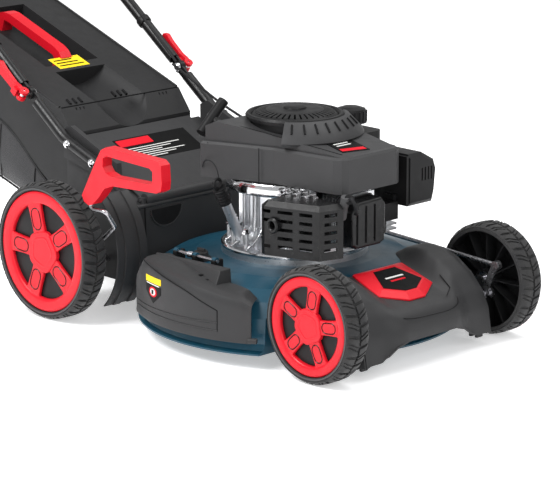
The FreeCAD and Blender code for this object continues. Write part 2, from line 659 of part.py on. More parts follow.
def wheel_cover(front, side):
    """Red outer cover: ring, five spokes and a hub cap."""
    ring_out = wheel_radius(front) - TYRE_DEPTH - RIM_WALL - GAP / 2
    ring_in = ring_out * 0.79
    cap = wheel_radius(front) * 0.30
    low = TYRE_WIDTH - 12 + 0.2
    face = TYRE_WIDTH - COVER_INSET
    ring = turned([(ring_in - 3, low), (ring_out, low), (ring_out, face), (ring_in + 3, face), (ring_in, face - 4)])
    hub = turned([(0, low), (cap, low), (cap, face - 2), (cap - 3, face), (0, face)])
    pieces = [ring]
    width = wheel_radius(front) * 0.27
    for number in range(SPOKES):
        spoke = box((cap * 0.5, ring_in + 2), (-width / 2, width / 2), (low, face - 2))
        spoke.rotate(V(0, 0, 0), Z, number * 360.0 / SPOKES + (8 if front else 33))
        pieces.append(spoke)
    cover = joined(hub, *pieces)
    cover.Placement = FreeCAD.Placement(wheel_centre(front, side), FreeCAD.Rotation(Z, Y * side))
    return cover


def bearings(front):
    """Two bearings on each spindle of one axle."""
    rings = []
    for side in (RIGHT, LEFT):
        centre = wheel_centre(front, side)
        for start in (6.0, TYRE_WIDTH - 22 - BEARING_WIDTH):
            base = centre + Y * side * start
            rings.append(tube(base, base + Y * side * BEARING_WIDTH, BEARING_R, SPINDLE_R))
    return group(rings)


def arm_plate(pivot, spindle, y0, y1, end_r=10.0):
    """Flat arm between a pivot and a spindle."""
    way = (spindle - pivot)
    length = way.Length
    bar = box((0, length), (0, y1 - y0), (-end_r + 2, end_r - 2))
    bar.rotate(V(0, 0, 0), Y, -math.degrees(math.atan2(way.z, way.x)))
    bar.translate(V(pivot.x, y0, pivot.z))
    ends = [rod(V(p.x, y0, p.z), V(p.x, y1, p.z), end_r) for p in (pivot, spindle)]
    return joined(bar, *ends)


def axle(front):
    """Cross rod with a cranked arm and a spindle at each end, and the lug for the link rod."""
    pivot = FRONT_PIVOT if front else REAR_PIVOT
    inner = FRONT_IN if front else REAR_IN
    outer_y = inner - ARM_GAP
    pieces = []
    for side in (RIGHT, LEFT):
        centre = wheel_centre(front, side)
        y = sorted((side * outer_y, side * (outer_y - ARM_THICK)))
        pieces.append(arm_plate(pivot, V(centre.x, 0, centre.z), y[0], y[1]))
        pieces.append(rod(V(centre.x, side * (outer_y - 3), centre.z),
                          V(centre.x, side * (inner + TYRE_WIDTH - 21), centre.z), SPINDLE_R))
    cross = rod(pivot - Y * (outer_y - 3), pivot + Y * (outer_y - 3), AXLE_ROD_R)
    lug_top = FRONT_LINK if front else REAR_LINK
    lug = arm_plate(pivot, lug_top - Y * LINK_Y, LINK_Y - 9, LINK_Y - 5, 8)
    pin = rod(lug_top - Y * 6, lug_top + Y * 4.5, 3)
    whole = joined(cross, lug, pin, *pieces)
    return whole if front else joined(whole, lever_rod())


LEVER_Y = -(REAR_IN - ARM_GAP - ARM_THICK / 2)
GRIP_Y = -268.0


def lever_points():
    """Steel rod from the rear pivot, round the front of the tyre, up to the red grip."""
    return [V(REAR_PIVOT.x, LEVER_Y, REAR_PIVOT.z), V(-226, LEVER_Y, 188), V(-221, GRIP_Y, 221),
            V(-266, GRIP_Y, 219), V(-256, GRIP_Y, 248)]


def lever_rod():
    return swept(lever_points(), 4, 8)


def height_grip():
    """Red loop grip of the cutting height lever."""
    outer = [(-268, 234), (-274, 245), (-232, 318), (-220, 336), (-206, 343), (-190, 342), (-72, 339),
             (-62, 332), (-60, 302), (-62, 287), (-74, 281), (-190, 275), (-212, 267), (-228, 248), (-246, 232),
             (-256, 229)]
    window = [(-215, 322), (-205, 327), (-92, 323), (-84, 318), (-84, 298), (-92, 294), (-190, 291),
              (-208, 296), (-216, 306)]
    half = 11.0
    loop = plate_y(outer, GRIP_Y - half, GRIP_Y + half)
    return loop.cut([plate_y(window, GRIP_Y - half - 1, GRIP_Y + half + 1), lever_rod()])


def link_rod():
    bar = rod(REAR_LINK, FRONT_LINK, LINK_R)
    eyes = [rod(p - Y * 3.5, p + Y * 3.5, 8) for p in (REAR_LINK, FRONT_LINK)]
    rear_hole = rod(REAR_LINK - Y * 10, REAR_LINK + Y * 10, 3 + RUN)
    front_hole = rod(FRONT_LINK - Y * 10, FRONT_LINK + Y * 10, 5)
    return joined(bar, *eyes).cut([rear_hole, front_hole])


def front_axle_brackets():
    """Welded brackets on the deck's front wall that hold the front cross rod."""
    pieces = []
    for side in (RIGHT, LEFT):
        y = sorted((side * 60, side * 72))
        foot = box((FRONT_PIVOT.x - 40, FRONT_PIVOT.x), (y[0], y[1]), (FRONT_PIVOT.z - 11, FRONT_PIVOT.z + 11))
        ring = rod(V(FRONT_PIVOT.x, y[0], FRONT_PIVOT.z), V(FRONT_PIVOT.x, y[1], FRONT_PIVOT.z), 11)
        hole = rod(FRONT_PIVOT - Y * 100, FRONT_PIVOT + Y * 100, AXLE_ROD_R + RUN)
        pieces.append(joined(foot, ring).cut([hole, deck_solid(0)]))
    return pieces


def rear_bushes():
    """Bosses in the rear housing's cheeks that hold the rear cross rod."""
    pieces = []
    for side in (RIGHT, LEFT):
        start = REAR_PIVOT + Y * side * (HOUSING_HALF - PLASTIC - 12)
        pieces.append(tube(start, start + Y * side * (12 + PLASTIC), 14, AXLE_ROD_R + RUN))
    return pieces


# ---- engine ----
def engine_bolt_points(z):
    return [V(CASE_X + 8 + 116 * math.cos(math.radians(a)), 116 * math.sin(math.radians(a)), z)
            for a in (40, 140, 220, 320)]


def engine_base():
    """Cast flange on the deck with a bearing nose down through it and raised ribs."""
    disc = rod(V(CASE_X + 8, 0, DECK_TOP), V(CASE_X + 8, 0, BASE_TOP), BASE_R)
    nose = rod(V(0, 0, DECK_TOP - 32), V(0, 0, BASE_TOP), 34)
    rim = turned([(BASE_R - 8, BASE_THICK), (BASE_R, BASE_THICK), (BASE_R, BASE_THICK + 4),
                  (BASE_R - 8, BASE_THICK + 4)], V(CASE_X + 8, 0, DECK_TOP))
    ribs = []
    for number in range(12):
        rib = box((CASE_R - 6, BASE_R - 4), (-2, 2), (DECK_TOP + 2, BASE_TOP + 6))
        rib.rotate(V(0, 0, 0), Z, number * 30.0)
        rib.translate(V(CASE_X + 8, 0, 0))
        ribs.append(rib)
    bosses = [rod(p, p + Z * (BASE_THICK + 5), 10) for p in engine_bolt_points(DECK_TOP)]
    holes = [rod(p - Z * 5, p + Z * 60, 4.2) for p in engine_bolt_points(DECK_TOP)]
    bore = rod(V(0, 0, 0), V(0, 0, 200), SHAFT_R + RUN)
    column = rod(V(CASE_X, 0, BASE_TOP), V(CASE_X, 0, BASE_TOP + 40), CASE_R)
    return joined(disc, nose, rim, *ribs, *bosses).cut([bore, column] + holes)


def crankcase():
    """Cast case with the crank chamber, cylinder barrel, cooling fins and the oil filler tube."""
    column = rod(V(CASE_X, 0, BASE_TOP), V(CASE_X, 0, CASE_TOP), CASE_R - 8)
    plate = rod(V(CASE_X, 0, CASE_TOP), V(CASE_X, 0, PLATE_TOP), PLATE_R)
    posts = []
    for number in range(14):
        angle = math.radians(number * 360 / 14 + 10)
        at = V(CASE_X + (CASE_R - 7) * math.cos(angle), (CASE_R - 7) * math.sin(angle), BASE_TOP)
        posts.append(rod(at, at + Z * (CASE_TOP - BASE_TOP), 6.5))
    barrel = rod(V(50, 0, CRANK_Z), V(HEAD_X[0], 0, CRANK_Z), BORE_R + 7)
    fins = []
    for number in range(7):
        x = 74 + number * 7.5
        fins.append(box((x, x + 2.5), (HEAD_Y[0] + 8, HEAD_Y[1] + 5), (CRANK_Z - 44, CRANK_Z + 48)))
    filler = rod(DIPSTICK_FOOT, DIPSTICK_FOOT + DIPSTICK_WAY * DIPSTICK_TUBE, 9)
    filler_foot = rod(DIPSTICK_FOOT, V(CASE_X, -CASE_R + 30, DIPSTICK_FOOT.z - 6), 12)
    chamber = rod(V(0, 0, BASE_TOP + 14), V(0, 0, CASE_TOP - 8), 60)
    bore = rod(V(20, 0, CRANK_Z), V(HEAD_X[0] + 1, 0, CRANK_Z), BORE_R)
    shaft = rod(V(0, 0, 0), V(0, 0, 400), SHAFT_R + RUN)
    dip = rod(DIPSTICK_FOOT - DIPSTICK_WAY * 20, DIPSTICK_FOOT + DIPSTICK_WAY * 200, 6)
    below = box((-200, 200), (-200, 200), (100, BASE_TOP))
    whole = joined(column, plate, barrel, filler, filler_foot, *posts, *fins)
    case = whole.cut([chamber, bore, shaft, dip, below])
    return max(case.Solids, key=lambda s: s.Volume)


def cylinder_head():
    core = box(HEAD_X, (HEAD_Y[0] + 10, HEAD_Y[1] - 6), (HEAD_Z[0] + 4, HEAD_Z[1] - 8))
    fins = []
    for number in range(5):
        x = HEAD_X[0] + number * 7.5
        fins.append(box((x, x + 2.5), HEAD_Y, HEAD_Z))
    port = rod(V(142, HEAD_Y[1] - 8, CRANK_Z + 16), V(142, HEAD_Y[1] + 7, CRANK_Z + 16), 13)
    outlet = rod(V(142, HEAD_Y[0] + 12, CRANK_Z + 16), V(142, HEAD_Y[0] - 14, CRANK_Z + 16), 12)
    plug_hole = rod(V(140, -48, 262), V(205, -82, 285), 7)
    return joined(core, port, outlet, *fins).cut(plug_hole)


def rocker_cover():
    back = HEAD_X[1]
    front = ROCKER_FRONT
    outline = [(HEAD_Y[0] + 4, HEAD_Z[0] + 8), (HEAD_Y[0] + 2, HEAD_Z[1] - 22), (HEAD_Y[0] + 20, HEAD_Z[1] - 4),
               (HEAD_Y[1] - 14, HEAD_Z[1] - 2), (HEAD_Y[1] - 2, HEAD_Z[1] - 14), (HEAD_Y[1] - 4, HEAD_Z[0] + 6),
               (HEAD_Y[1] - 16, HEAD_Z[0]), (HEAD_Y[0] + 16, HEAD_Z[0])]
    flange = plate_x(outline, back, back + 4)
    middle = [((y + 20) * 0.93 - 20, (z - 230) * 0.95 + 230) for y, z in outline]
    nose = plate_x(middle, back + 4, front)
    nose = nose.makeFillet(5, [e for e in nose.Edges if abs(e.CenterOfMass.x - front) < 0.1])
    hollow = plate_x([((y + 20) * 0.84 - 20, (z - 230) * 0.87 + 230) for y, z in outline], back, front - 5)
    plug_gap = rod(V(140, -48, 262), V(215, -88, 289), 12)
    return joined(flange, nose).cut([hollow, plug_gap])


def spark_plug():
    """Plug in the head with its rubber boot."""
    start = V(140, -48, 262)
    way = (V(205, -82, 285) - start).normalize()
    body = rod(start, start + way * 22, 6.8)
    porcelain = rod(start + way * 22, start + way * 40, 5)
    boot = tube(start + way * 27, start + way * 70, 9, 5.1)
    cap = rod(start + way * 62, start + way * 74, 9)
    return group([joined(body, porcelain), joined(boot, cap)])


def muffler():
    outline = [(86, -100), (88, -150), (176, -127), (184, -100)]
    can = plate_z(outline, 193, 262)
    can = can.makeFillet(8, [e for e in can.Edges if abs(e.tangentAt(e.FirstParameter).z) > 0.9])
    pipe = rod(V(142, -101, CRANK_Z + 16), V(142, HEAD_Y[0] - 14.1, CRANK_Z + 16), 12)
    tail = rod(V(104, -144, 236), V(104, -157, 236), 6)
    return joined(can, pipe, tail)


def guard_outline(inset):
    return [(70 + inset, -92 + inset * 3), (73 + inset, -166 + inset), (86 + inset * 0.4, -172 + inset * 1.2),
            (187 - inset * 0.6, -139 + inset), (199 - inset, -92 + inset * 3)]


def muffler_guard():
    """Black slotted heat guard round the silencer."""
    low, high = 181.0, 277.0
    outer = plate_z(guard_outline(0), low, high)
    cap = [e for e in outer.Edges if abs(e.CenterOfMass.z - high) < 0.1 and e.CenterOfMass.y < -95]
    outer = outer.makeChamfer(9, cap)
    inner = plate_z(guard_outline(2), low - 1, high - 11)
    slots = []
    rows = 5
    for row in range(rows):
        z = low + 14 + row * 15.5
        for x, width in ((80, 17), (110, 28), (150, 24)):
            if x == 80 and row in (1, 2):
                continue
            slots.append(box((x, x + width), (-190, -120), (z, z + 6)))
        slots.append(box((150, 210), (-129, -104), (z, z + 6)))
    reach = Y * (GUARD_PORT_LENGTH / 2)
    hole = rod(GUARD_PORT - reach * 4, GUARD_PORT + reach * 4, GUARD_PORT_R)
    collar = rod(GUARD_PORT - reach, GUARD_PORT + reach, GUARD_PORT_R + 3)
    shell = outer.cut([inner] + slots)
    shell = max(shell.Solids, key=lambda s: s.Volume)
    return joined(shell, collar).cut(hole)


def carburettor():
    """Carburettor, its float bowl, and the air filter's back plate."""
    body = box((127, 160), (HEAD_Y[1] + 7, FILTER_Y[0] - 8), (CRANK_Z + 2, CRANK_Z + 34))
    bowl = rod(V(136, 60, CRANK_Z - 22), V(136, 60, CRANK_Z + 4), 16)
    back = box((FILTER_X[0] + 2, FILTER_X[1] - 2), (FILTER_Y[0] - 7.4, FILTER_Y[0] - GAP),
               (FILTER_Z[0] + 3, FILTER_Z[1] - 3))
    duct = box((130, 154), (FILTER_Y[0] - 14, FILTER_Y[0] - 7), (CRANK_Z + 20, FILTER_Z[0] + 20))
    return joined(body, bowl, back, duct)


def air_filter_cover():
    """Boxy cover over the paper element, hinged at the bottom."""
    (y0, y1), (z0, z1) = FILTER_Y, FILTER_Z
    outline = [(y0, z0), (y0, z1), (y0 + 34, z1), (y1 - 6, z1 - 18), (y1, z1 - 34), (y1 - 4, z0 + 22), (y1 - 10, z0)]
    body = plate_x(outline, FILTER_X[0], FILTER_X[1])
    edges = [e for e in body.Edges if abs(e.CenterOfMass.x - FILTER_X[1]) < 0.1 and e.CenterOfMass.y > y0 + 1]
    body = body.makeChamfer(7, edges)
    inside = [(y0 - 1, z0 + 3), (y0 - 1, z1 - 3), (y0 + 33, z1 - 3), (y1 - 9, z1 - 20), (y1 - 7, z0 + 22),
              (y1 - 13, z0 + 3)]
    hollow = plate_x(inside, FILTER_X[0] + 3, FILTER_X[1] - 8)
    vents = [box((FILTER_X[1] - 12, FILTER_X[1] + 5), (y0 + 30 + n * 8, y0 + 33 + n * 8), (z1 - 52, z1 - 28))
             for n in range(4)]
    return body.cut([hollow] + vents)


def piston():
    """Piston at top dead centre."""
    crown = THROW + ROD_LENGTH + 20
    body = rod(V(crown - 44, 0, CRANK_Z), V(crown, 0, CRANK_Z), BORE_R - RUN)
    inside = rod(V(crown - 45, 0, CRANK_Z), V(crown - 9, 0, CRANK_Z), BORE_R - 6)
    pin = rod(V(crown - 20, 0, CRANK_Z - BORE_R + 3), V(crown - 20, 0, CRANK_Z + BORE_R - 3), 7)
    grooves = [turned([(BORE_R - 2, 0), (BORE_R + 1, 0), (BORE_R + 1, 1.6), (BORE_R - 2, 1.6)],
                      V(crown - 5 - 4 * n, 0, CRANK_Z), X) for n in range(3)]
    return joined(body.cut([inside] + grooves), pin)


def crankshaft():
    low, high = 62.0, 333.0
    lower = rod(V(0, 0, low), V(0, 0, CRANK_Z - 9), SHAFT_R)
    upper = rod(V(0, 0, CRANK_Z + 9), V(0, 0, high), SHAFT_R)
    webs = []
    for z in (CRANK_Z - 19, CRANK_Z + 9):
        webs.append(rod(V(0, 0, z), V(0, 0, z + 10), 22))
        webs.append(box((-38, 30), (-18, 18), (z, z + 10)))
    pin = rod(V(THROW, 0, CRANK_Z - 10), V(THROW, 0, CRANK_Z + 10), 10)
    bolt_hole = rod(V(0, 0, low - 1), V(0, 0, low + 25), 5)
    return joined(lower, upper, pin, *webs).cut(bolt_hole)


def flywheel():
    """Flywheel with its cooling fan blades."""
    disc = rod(V(0, 0, 298), V(0, 0, 310), FLYWHEEL_R)
    hub = rod(V(0, 0, 294), V(0, 0, 322), 24)
    vanes = []
    for number in range(16):
        vane = box((40, FLYWHEEL_R - 1), (-1.2, 1.2), (309, 328))
        vane.rotate(V(0, 0, 0), Z, number * 22.5)
        vanes.append(vane)
    return joined(disc, hub, *vanes).cut(rod(V(0, 0, 200), V(0, 0, 400), SHAFT_R))


def blade():
    """Cutting bar with lifted sails at the trailing edges."""
    half = 28.0
    bar = box((-BLADE_R + 2, BLADE_R - 2), (-half, half), (BLADE_Z, BLADE_Z + BLADE_THICK))
    bar = bar.common(rod(V(0, 0, 0), V(0, 0, 100), BLADE_R))
    sails = []
    for turn in (0, 180):
        sail = plate_x([(half - 6, 0), (half, 0), (half + 9, 20), (half + 5, 22), (half - 6, BLADE_THICK)], 150,
                       BLADE_R - 12)
        sail.translate(V(0, 0, BLADE_Z))
        sail.rotate(V(0, 0, 0), Z, turn)
        sails.append(sail)
    return joined(bar, *sails).cut(rod(V(0, 0, 0), V(0, 0, 100), 5 + RUN))


def blade_adapter():
    """Blade holder on the shaft's end, and the blade bolt."""
    top = BLADE_Z + BLADE_THICK
    holder = rod(V(0, 0, top), V(0, 0, top + 46), 21).fuse(box((-40, 40), (-26, 26), (top, top + 5)))
    holder = holder.removeSplitter().cut([rod(V(0, 0, 62), V(0, 0, 200), SHAFT_R),
                                          rod(V(0, 0, 0), V(0, 0, 100), 5 + RUN)])
    head = turned([(0, -9), (9, -9), (9, -2), (14, -2), (14, 0), (0, 0)], V(0, 0, BLADE_Z))
    bolt = joined(head, rod(V(0, 0, BLADE_Z - 1), V(0, 0, 84), 5))
    return group([holder, bolt])


def shroud_outline():
    nose = SHROUD_NOSE
    return [(nose, -60), (nose - 6, -72), (nose - 20, -80), (30, -95), (-62, -128), (-104, -145), (-112, -138),
            (-120, -60), (-120, 60), (-112, 84), (-75, 88), (60, 88), (nose - 20, 80), (nose - 6, 72), (nose, 60)]


def fan_shroud():
    """Blower housing: a skirt with a top that rises towards the back."""
    outline = shroud_outline()
    skirt = plate_z(outline, SHROUD_LOW, SHROUD_TOP)
    top = [e for e in skirt.Edges if abs(e.CenterOfMass.z - SHROUD_TOP) < 0.1]
    skirt = skirt.makeChamfer(4, top)
    inset = offset_outline(outline, 9)
    rise = plate_y([(SHROUD_NOSE, SHROUD_TOP - 4), (SHROUD_NOSE, SHROUD_TOP - 2), (-84, SHROUD_REAR_TOP),
                    (-112, SHROUD_REAR_TOP - 14), (-124, SHROUD_TOP - 4)], -200, 200)
    wedge = plate_z(inset, SHROUD_TOP - 4, SHROUD_REAR_TOP + 10).common(rise)
    inner = plate_z(offset_outline(outline, PLASTIC), SHROUD_LOW - 1, SHROUD_TOP - 7)
    inner_rise = plate_y([(SHROUD_NOSE - 20, SHROUD_TOP - 10), (SHROUD_NOSE - 20, SHROUD_TOP - 4),
                          (-84, SHROUD_REAR_TOP - 5), (-106, SHROUD_REAR_TOP - 16), (-108, SHROUD_TOP - 10)],
                         -200, 200)
    inner_top = plate_z(offset_outline(outline, 15), SHROUD_TOP - 10, SHROUD_REAR_TOP).common(inner_rise)
    mouth = rod(V(RECOIL_X, 0, SHROUD_TOP - 10), V(RECOIL_X, 0, 500), RECOIL_R - 6)
    guide = rod(GRIP_AT - GRIP_WAY * 26, GRIP_AT, 9)
    rope_hole = rod(GRIP_AT - GRIP_WAY * 60, GRIP_AT + GRIP_WAY, ROPE_R + 0.5)
    return joined(joined(skirt, wedge).cut([inner, inner_top, mouth]), guide).cut(rope_hole)


def recoil_cover():
    """Domed starter cover with slots round its side."""
    low = SHROUD_TOP + 2
    profile = [(0, RECOIL_TOP), (46, RECOIL_TOP - 2), (70, RECOIL_TOP - 6), (RECOIL_R - 8, RECOIL_TOP - 14),
               (RECOIL_R - 6.2, low), (RECOIL_R - 9.5, low), (RECOIL_R - 11, RECOIL_TOP - 16),
               (69, RECOIL_TOP - 9), (46, RECOIL_TOP - 5), (0, RECOIL_TOP - 5)]
    dome = turned(profile, V(RECOIL_X, 0, 0))
    spool = rod(V(0, 0, 340), V(0, 0, RECOIL_TOP - 4), 9)
    slots = []
    count = 40
    for number in range(count):
        angle = number * 360.0 / count
        slot = box((52, RECOIL_R - 16), (-1.6, 1.6), (RECOIL_TOP - 20, RECOIL_TOP + 5))
        slot.rotate(V(0, 0, 0), Z, angle)
        slot.translate(V(RECOIL_X, 0, 0))
        slots.append(slot)
    return joined(dome.cut(slots), spool)


def starter_grip():
    """Pull handle parked against the rope guide, on its rope end."""
    middle = GRIP_AT + GRIP_WAY * 16
    bar = rod(middle - GRIP_BAR * 38, middle + GRIP_BAR * 38, 10)
    neck = rod(GRIP_AT + GRIP_WAY * GAP, middle, 7)
    rope = rod(GRIP_AT - GRIP_WAY * 20, GRIP_AT + GRIP_WAY * 2, ROPE_R)
    return joined(bar, neck, rope)


def fuel_tank():
    """Plastic tank on the left of the engine, with its threaded neck."""
    (x0, x1), (y0, y1) = TANK_X, TANK_Y
    body = box((x0, x1), (y0, y1), (SHROUD_LOW + 2, SHROUD_TOP + 2))
    upright = [e for e in body.Edges if abs(e.tangentAt(e.FirstParameter).z) > 0.9]
    body = body.makeFillet(14, upright)
    neck = rod(V(CAP_AT[0], CAP_AT[1], SHROUD_TOP), V(CAP_AT[0], CAP_AT[1], SHROUD_TOP + 22), 17)
    inside = box((x0 + 3, x1 - 3), (y0 + 3, y1 - 3), (SHROUD_LOW + 5, SHROUD_TOP - 1))
    inside = inside.makeFillet(11, [e for e in inside.Edges if abs(e.tangentAt(e.FirstParameter).z) > 0.9])
    throat = rod(V(CAP_AT[0], CAP_AT[1], SHROUD_TOP - 10), V(CAP_AT[0], CAP_AT[1], SHROUD_TOP + 40), 14)
    return joined(body, neck).cut([inside, throat])


def fuel_cap():
    base = V(CAP_AT[0], CAP_AT[1], SHROUD_TOP + 14)
    dome = turned([(0, 27), (20, 27), (CAP_R - 3, 25), (CAP_R - 1, 21), (CAP_R, 3), (CAP_R, 0), (17.4, 0),
                   (17.4, 9), (0, 9)], base)
    grips = []
    for number in range(18):
        groove = rod(base + V(CAP_R + 1.2, 0, -1), base + V(CAP_R + 1.2, 0, 20), 2.4)
        groove.rotate(base, Z, number * 20.0)
        grips.append(groove)
    return dome.cut(grips)


def dipstick():
    """Oil filler plug with a ring handle and a steel blade down the tube."""
    top = DIPSTICK_FOOT + DIPSTICK_WAY * DIPSTICK_TUBE
    plug = rod(top + DIPSTICK_WAY * GAP, top + DIPSTICK_WAY * 34, 12)
    stem = rod(top - DIPSTICK_WAY * 90, top + DIPSTICK_WAY * 4, 4.0)
    ring_at = top + DIPSTICK_WAY * 43
    ring = Part.makeTorus(8.5, 3, ring_at, X)
    return joined(plug, stem, ring)


def fasteners():
    """Engine bolts, and the bolts that hold the lower tubes."""
    pieces = []
    for point in engine_bolt_points(DECK_TOP - 8):
        shank = rod(point, point + Z * (8 + BASE_THICK + 8), 4)
        head = rod(point + Z * (8 + BASE_THICK + 5), point + Z * (8 + BASE_THICK + 11), 7)
        pieces.append(joined(shank, head))
    for side in (RIGHT, LEFT):
        for x, z in bracket_bolt_points():
            outside = V(x, side * (HANDLE_Y + TUBE_R), z)
            head = turned([(0, 0), (8, 0), (7, 2.5), (4, 4.5), (0, 5)], outside, Y * side)
            shank = rod(outside, V(x, side * (HOUSING_HALF - PLASTIC - 8), z), PIVOT_R)
            nut = rod(V(x, side * (HOUSING_HALF - PLASTIC), z), V(x, side * (HOUSING_HALF - PLASTIC - 6), z), 7)
            pieces.append(joined(head, shank, nut))
    return group(pieces)


# ---- grass bag ----
def hood_top(x):
    return HOOD_EDGE.z + (HOOD_EDGE.x - x) * HOOD_RISE


HOOD_END = HOOD_EDGE.x - HOOD_LENGTH


def hood_outline(inset):
    """Side view of the plastic hood."""
    front = BAG_FRONT - inset
    end = HOOD_END + inset
    low = inset * 2 if inset else 0
    return [(front, 196 - low), (front, BAG_FRONT_Z - inset * 0.5), (HOOD_EDGE.x, HOOD_EDGE.z - inset * 1.1),
            (HOOD_END + 25, hood_top(HOOD_END + 25) - inset * 1.1), (end + 4, hood_top(HOOD_END) - 14 - inset),
            (end - 8 * (not inset), hood_top(HOOD_END) - 46), (end - 8 * (not inset), 420 - low),
            (-640, 300 - low), (-545, 225 - low), (-500, 196 - low)]


def hood_recess(extra):
    """Finger scoop at the front and the well under the carrying handle."""
    slope = math.degrees(math.atan(HOOD_RISE))
    radius = SCOOP_R + extra
    length = SCOOP_LENGTH + extra
    drop = SCOOP_R - SCOOP_DEPTH
    scoop = rod(V(60, 0, 0), V(-length, 0, 0), radius)
    scoop.rotate(V(0, 0, 0), Y, slope)
    scoop.translate(V(HOOD_EDGE.x, 0, HOOD_EDGE.z + drop))
    deep = 30 + extra
    well = box((-390 - extra, -150 + extra), (-66 - extra, 66 + extra), (-deep, 60))
    well.rotate(V(0, 0, 0), Y, slope)
    well.translate(V(HOOD_EDGE.x, 0, HOOD_EDGE.z))
    return [scoop, well]


def bag_hood():
    outer = plate_y(hood_outline(0), -BAG_HALF, BAG_HALF).cut(hood_recess(0))
    hollow = plate_y(hood_outline(PLASTIC), -BAG_HALF + PLASTIC, BAG_HALF - PLASTIC).cut(hood_recess(PLASTIC))
    mouth = box((BAG_FRONT - 10, BAG_FRONT + 10), (-TUNNEL_HALF, TUNNEL_HALF), (100, 290))
    return max(outer.cut([hollow, mouth]).Solids, key=lambda s: s.Volume)


def bag_body():
    """Cloth lower part of the bag, open at the top under the hood and at the front."""
    end = HOOD_END - 8
    outline = [(BAG_FRONT, 148), (BAG_FRONT, 193), (-501, 193), (-546, 222), (-641, 297), (end, 416.5),
               (end + 4, 330), (end + 24, 262), (end + 70, 232), (-560, 150)]
    outer = plate_y(outline, -BAG_HALF, BAG_HALF)
    inner = plate_y([(BAG_FRONT + 1, 148 + CLOTH), (BAG_FRONT + 1, 240), (-641, 330), (end + CLOTH, 450),
                     (end + CLOTH + 1, 417), (end + 4 + CLOTH, 331), (end + 25 + CLOTH, 265),
                     (end + 71, 232 + CLOTH + 0.5), (-560, 150 + CLOTH)], -BAG_HALF + CLOTH, BAG_HALF - CLOTH)
    return outer.cut(inner)


def bag_frame():
    """Steel rod round the bag's mouth, inside the hood and the cloth."""
    x = BAG_FRONT - 8
    half = TUNNEL_HALF + 12
    low, high = 157.0, 296.0
    sides = [V(x, -half + 20, low), V(x, half, low), V(x, half, high), V(x, -half, high), V(x, -half, low),
             V(x, -half + 18, low)]
    return swept(sides, 3, 10)


def bag_handle():
    """Red carrying handle in the hood's well."""
    slope = math.degrees(math.atan(HOOD_RISE))
    deep = -30.0
    outline = [(-168, deep), (-168, 2), (-180, 10), (-196, 13), (-340, 13), (-356, 9), (-368, 2), (-368, deep),
               (-350, deep), (-350, -6), (-340, -4), (-196, -4), (-188, -8), (-188, deep)]
    handle = plate_y(outline, -13, 13)
    handle.rotate(V(0, 0, 0), Y, slope)
    handle.translate(V(HOOD_EDGE.x, 0, HOOD_EDGE.z))
    return handle


def build():
    parts = {
        "deck_shell": deck_shell(), "front_cover": front_cover(), "front_badge": front_badge(),
        "rear_housing": rear_housing(), "handle_brackets": handle_brackets(),
        "lower_handle": lower_handle(), "fasteners": fasteners(), "hinge_pins": hinge_pins(),
        "engine_base": engine_base(), "crankcase": crankcase(), "cylinder_head": cylinder_head(),
        "rocker_cover": rocker_cover(), "muffler": muffler(), "muffler_guard": muffler_guard(),
        "carburettor": carburettor(), "fan_shroud": fan_shroud(), "recoil_cover": recoil_cover(),
        "fuel_tank": fuel_tank(), "spark_plug": spark_plug(), "piston": piston(),
        "brake_cable_lower": cable_lower(),
        "side_flap": side_flap(), "rear_flap": rear_flap(), "bag_hood": bag_hood(), "bag_body": bag_body(),
        "bag_frame": bag_frame(), "bag_handle": bag_handle(), "upper_handle": upper_handle(),
        "brake_cable_upper": cable_upper(), "cam_lever_right": cam_lever(RIGHT),
        "cam_lever_left": cam_lever(LEFT), "pivot_bolts": pivot_bolts(), "bail": bail(),
        "starter_grip": starter_grip(), "fuel_cap": fuel_cap(), "dipstick": dipstick(),
        "air_filter_cover": air_filter_cover(), "crankshaft": crankshaft(), "flywheel": flywheel(),
        "blade": blade(), "blade_adapter": blade_adapter(), "front_axle": axle(True),
        "rear_axle": axle(False), "height_grip": height_grip(), "link_rod": link_rod(),
    }
    for end, front in (("front", True), ("rear", False)):
        parts[f"{end}_bearings"] = bearings(front)
        for name, side in (("right", RIGHT), ("left", LEFT)):
            parts[f"{end}_{name}_tyre"] = tyre(front, side)
            parts[f"{end}_{name}_wheel"] = wheel_disc(front, side)
            parts[f"{end}_{name}_cover"] = wheel_cover(front, side)
    return parts


PARTS = build()
REARMOST = handle_point(HANDLE_LENGTH).x - TUBE_R
FOREMOST = FRONT_X + FRONT_WHEEL_R
TO_ORIGIN = V(-(REARMOST + FOREMOST) / 2, 0, 0)
os.makedirs("parts", exist_ok=True)
for node, shape in PARTS.items():
    shape.translate(TO_ORIGIN)
    shape.exportStep(f"parts/{node}.step")
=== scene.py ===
"""Looks of a petrol push mower: materials, tyres, wheel covers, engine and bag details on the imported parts.

Sizes inside the builders are millimetres about the crankshaft (x forwards, y to the left, z up);
at() turns them into the row frame in metres.
"""

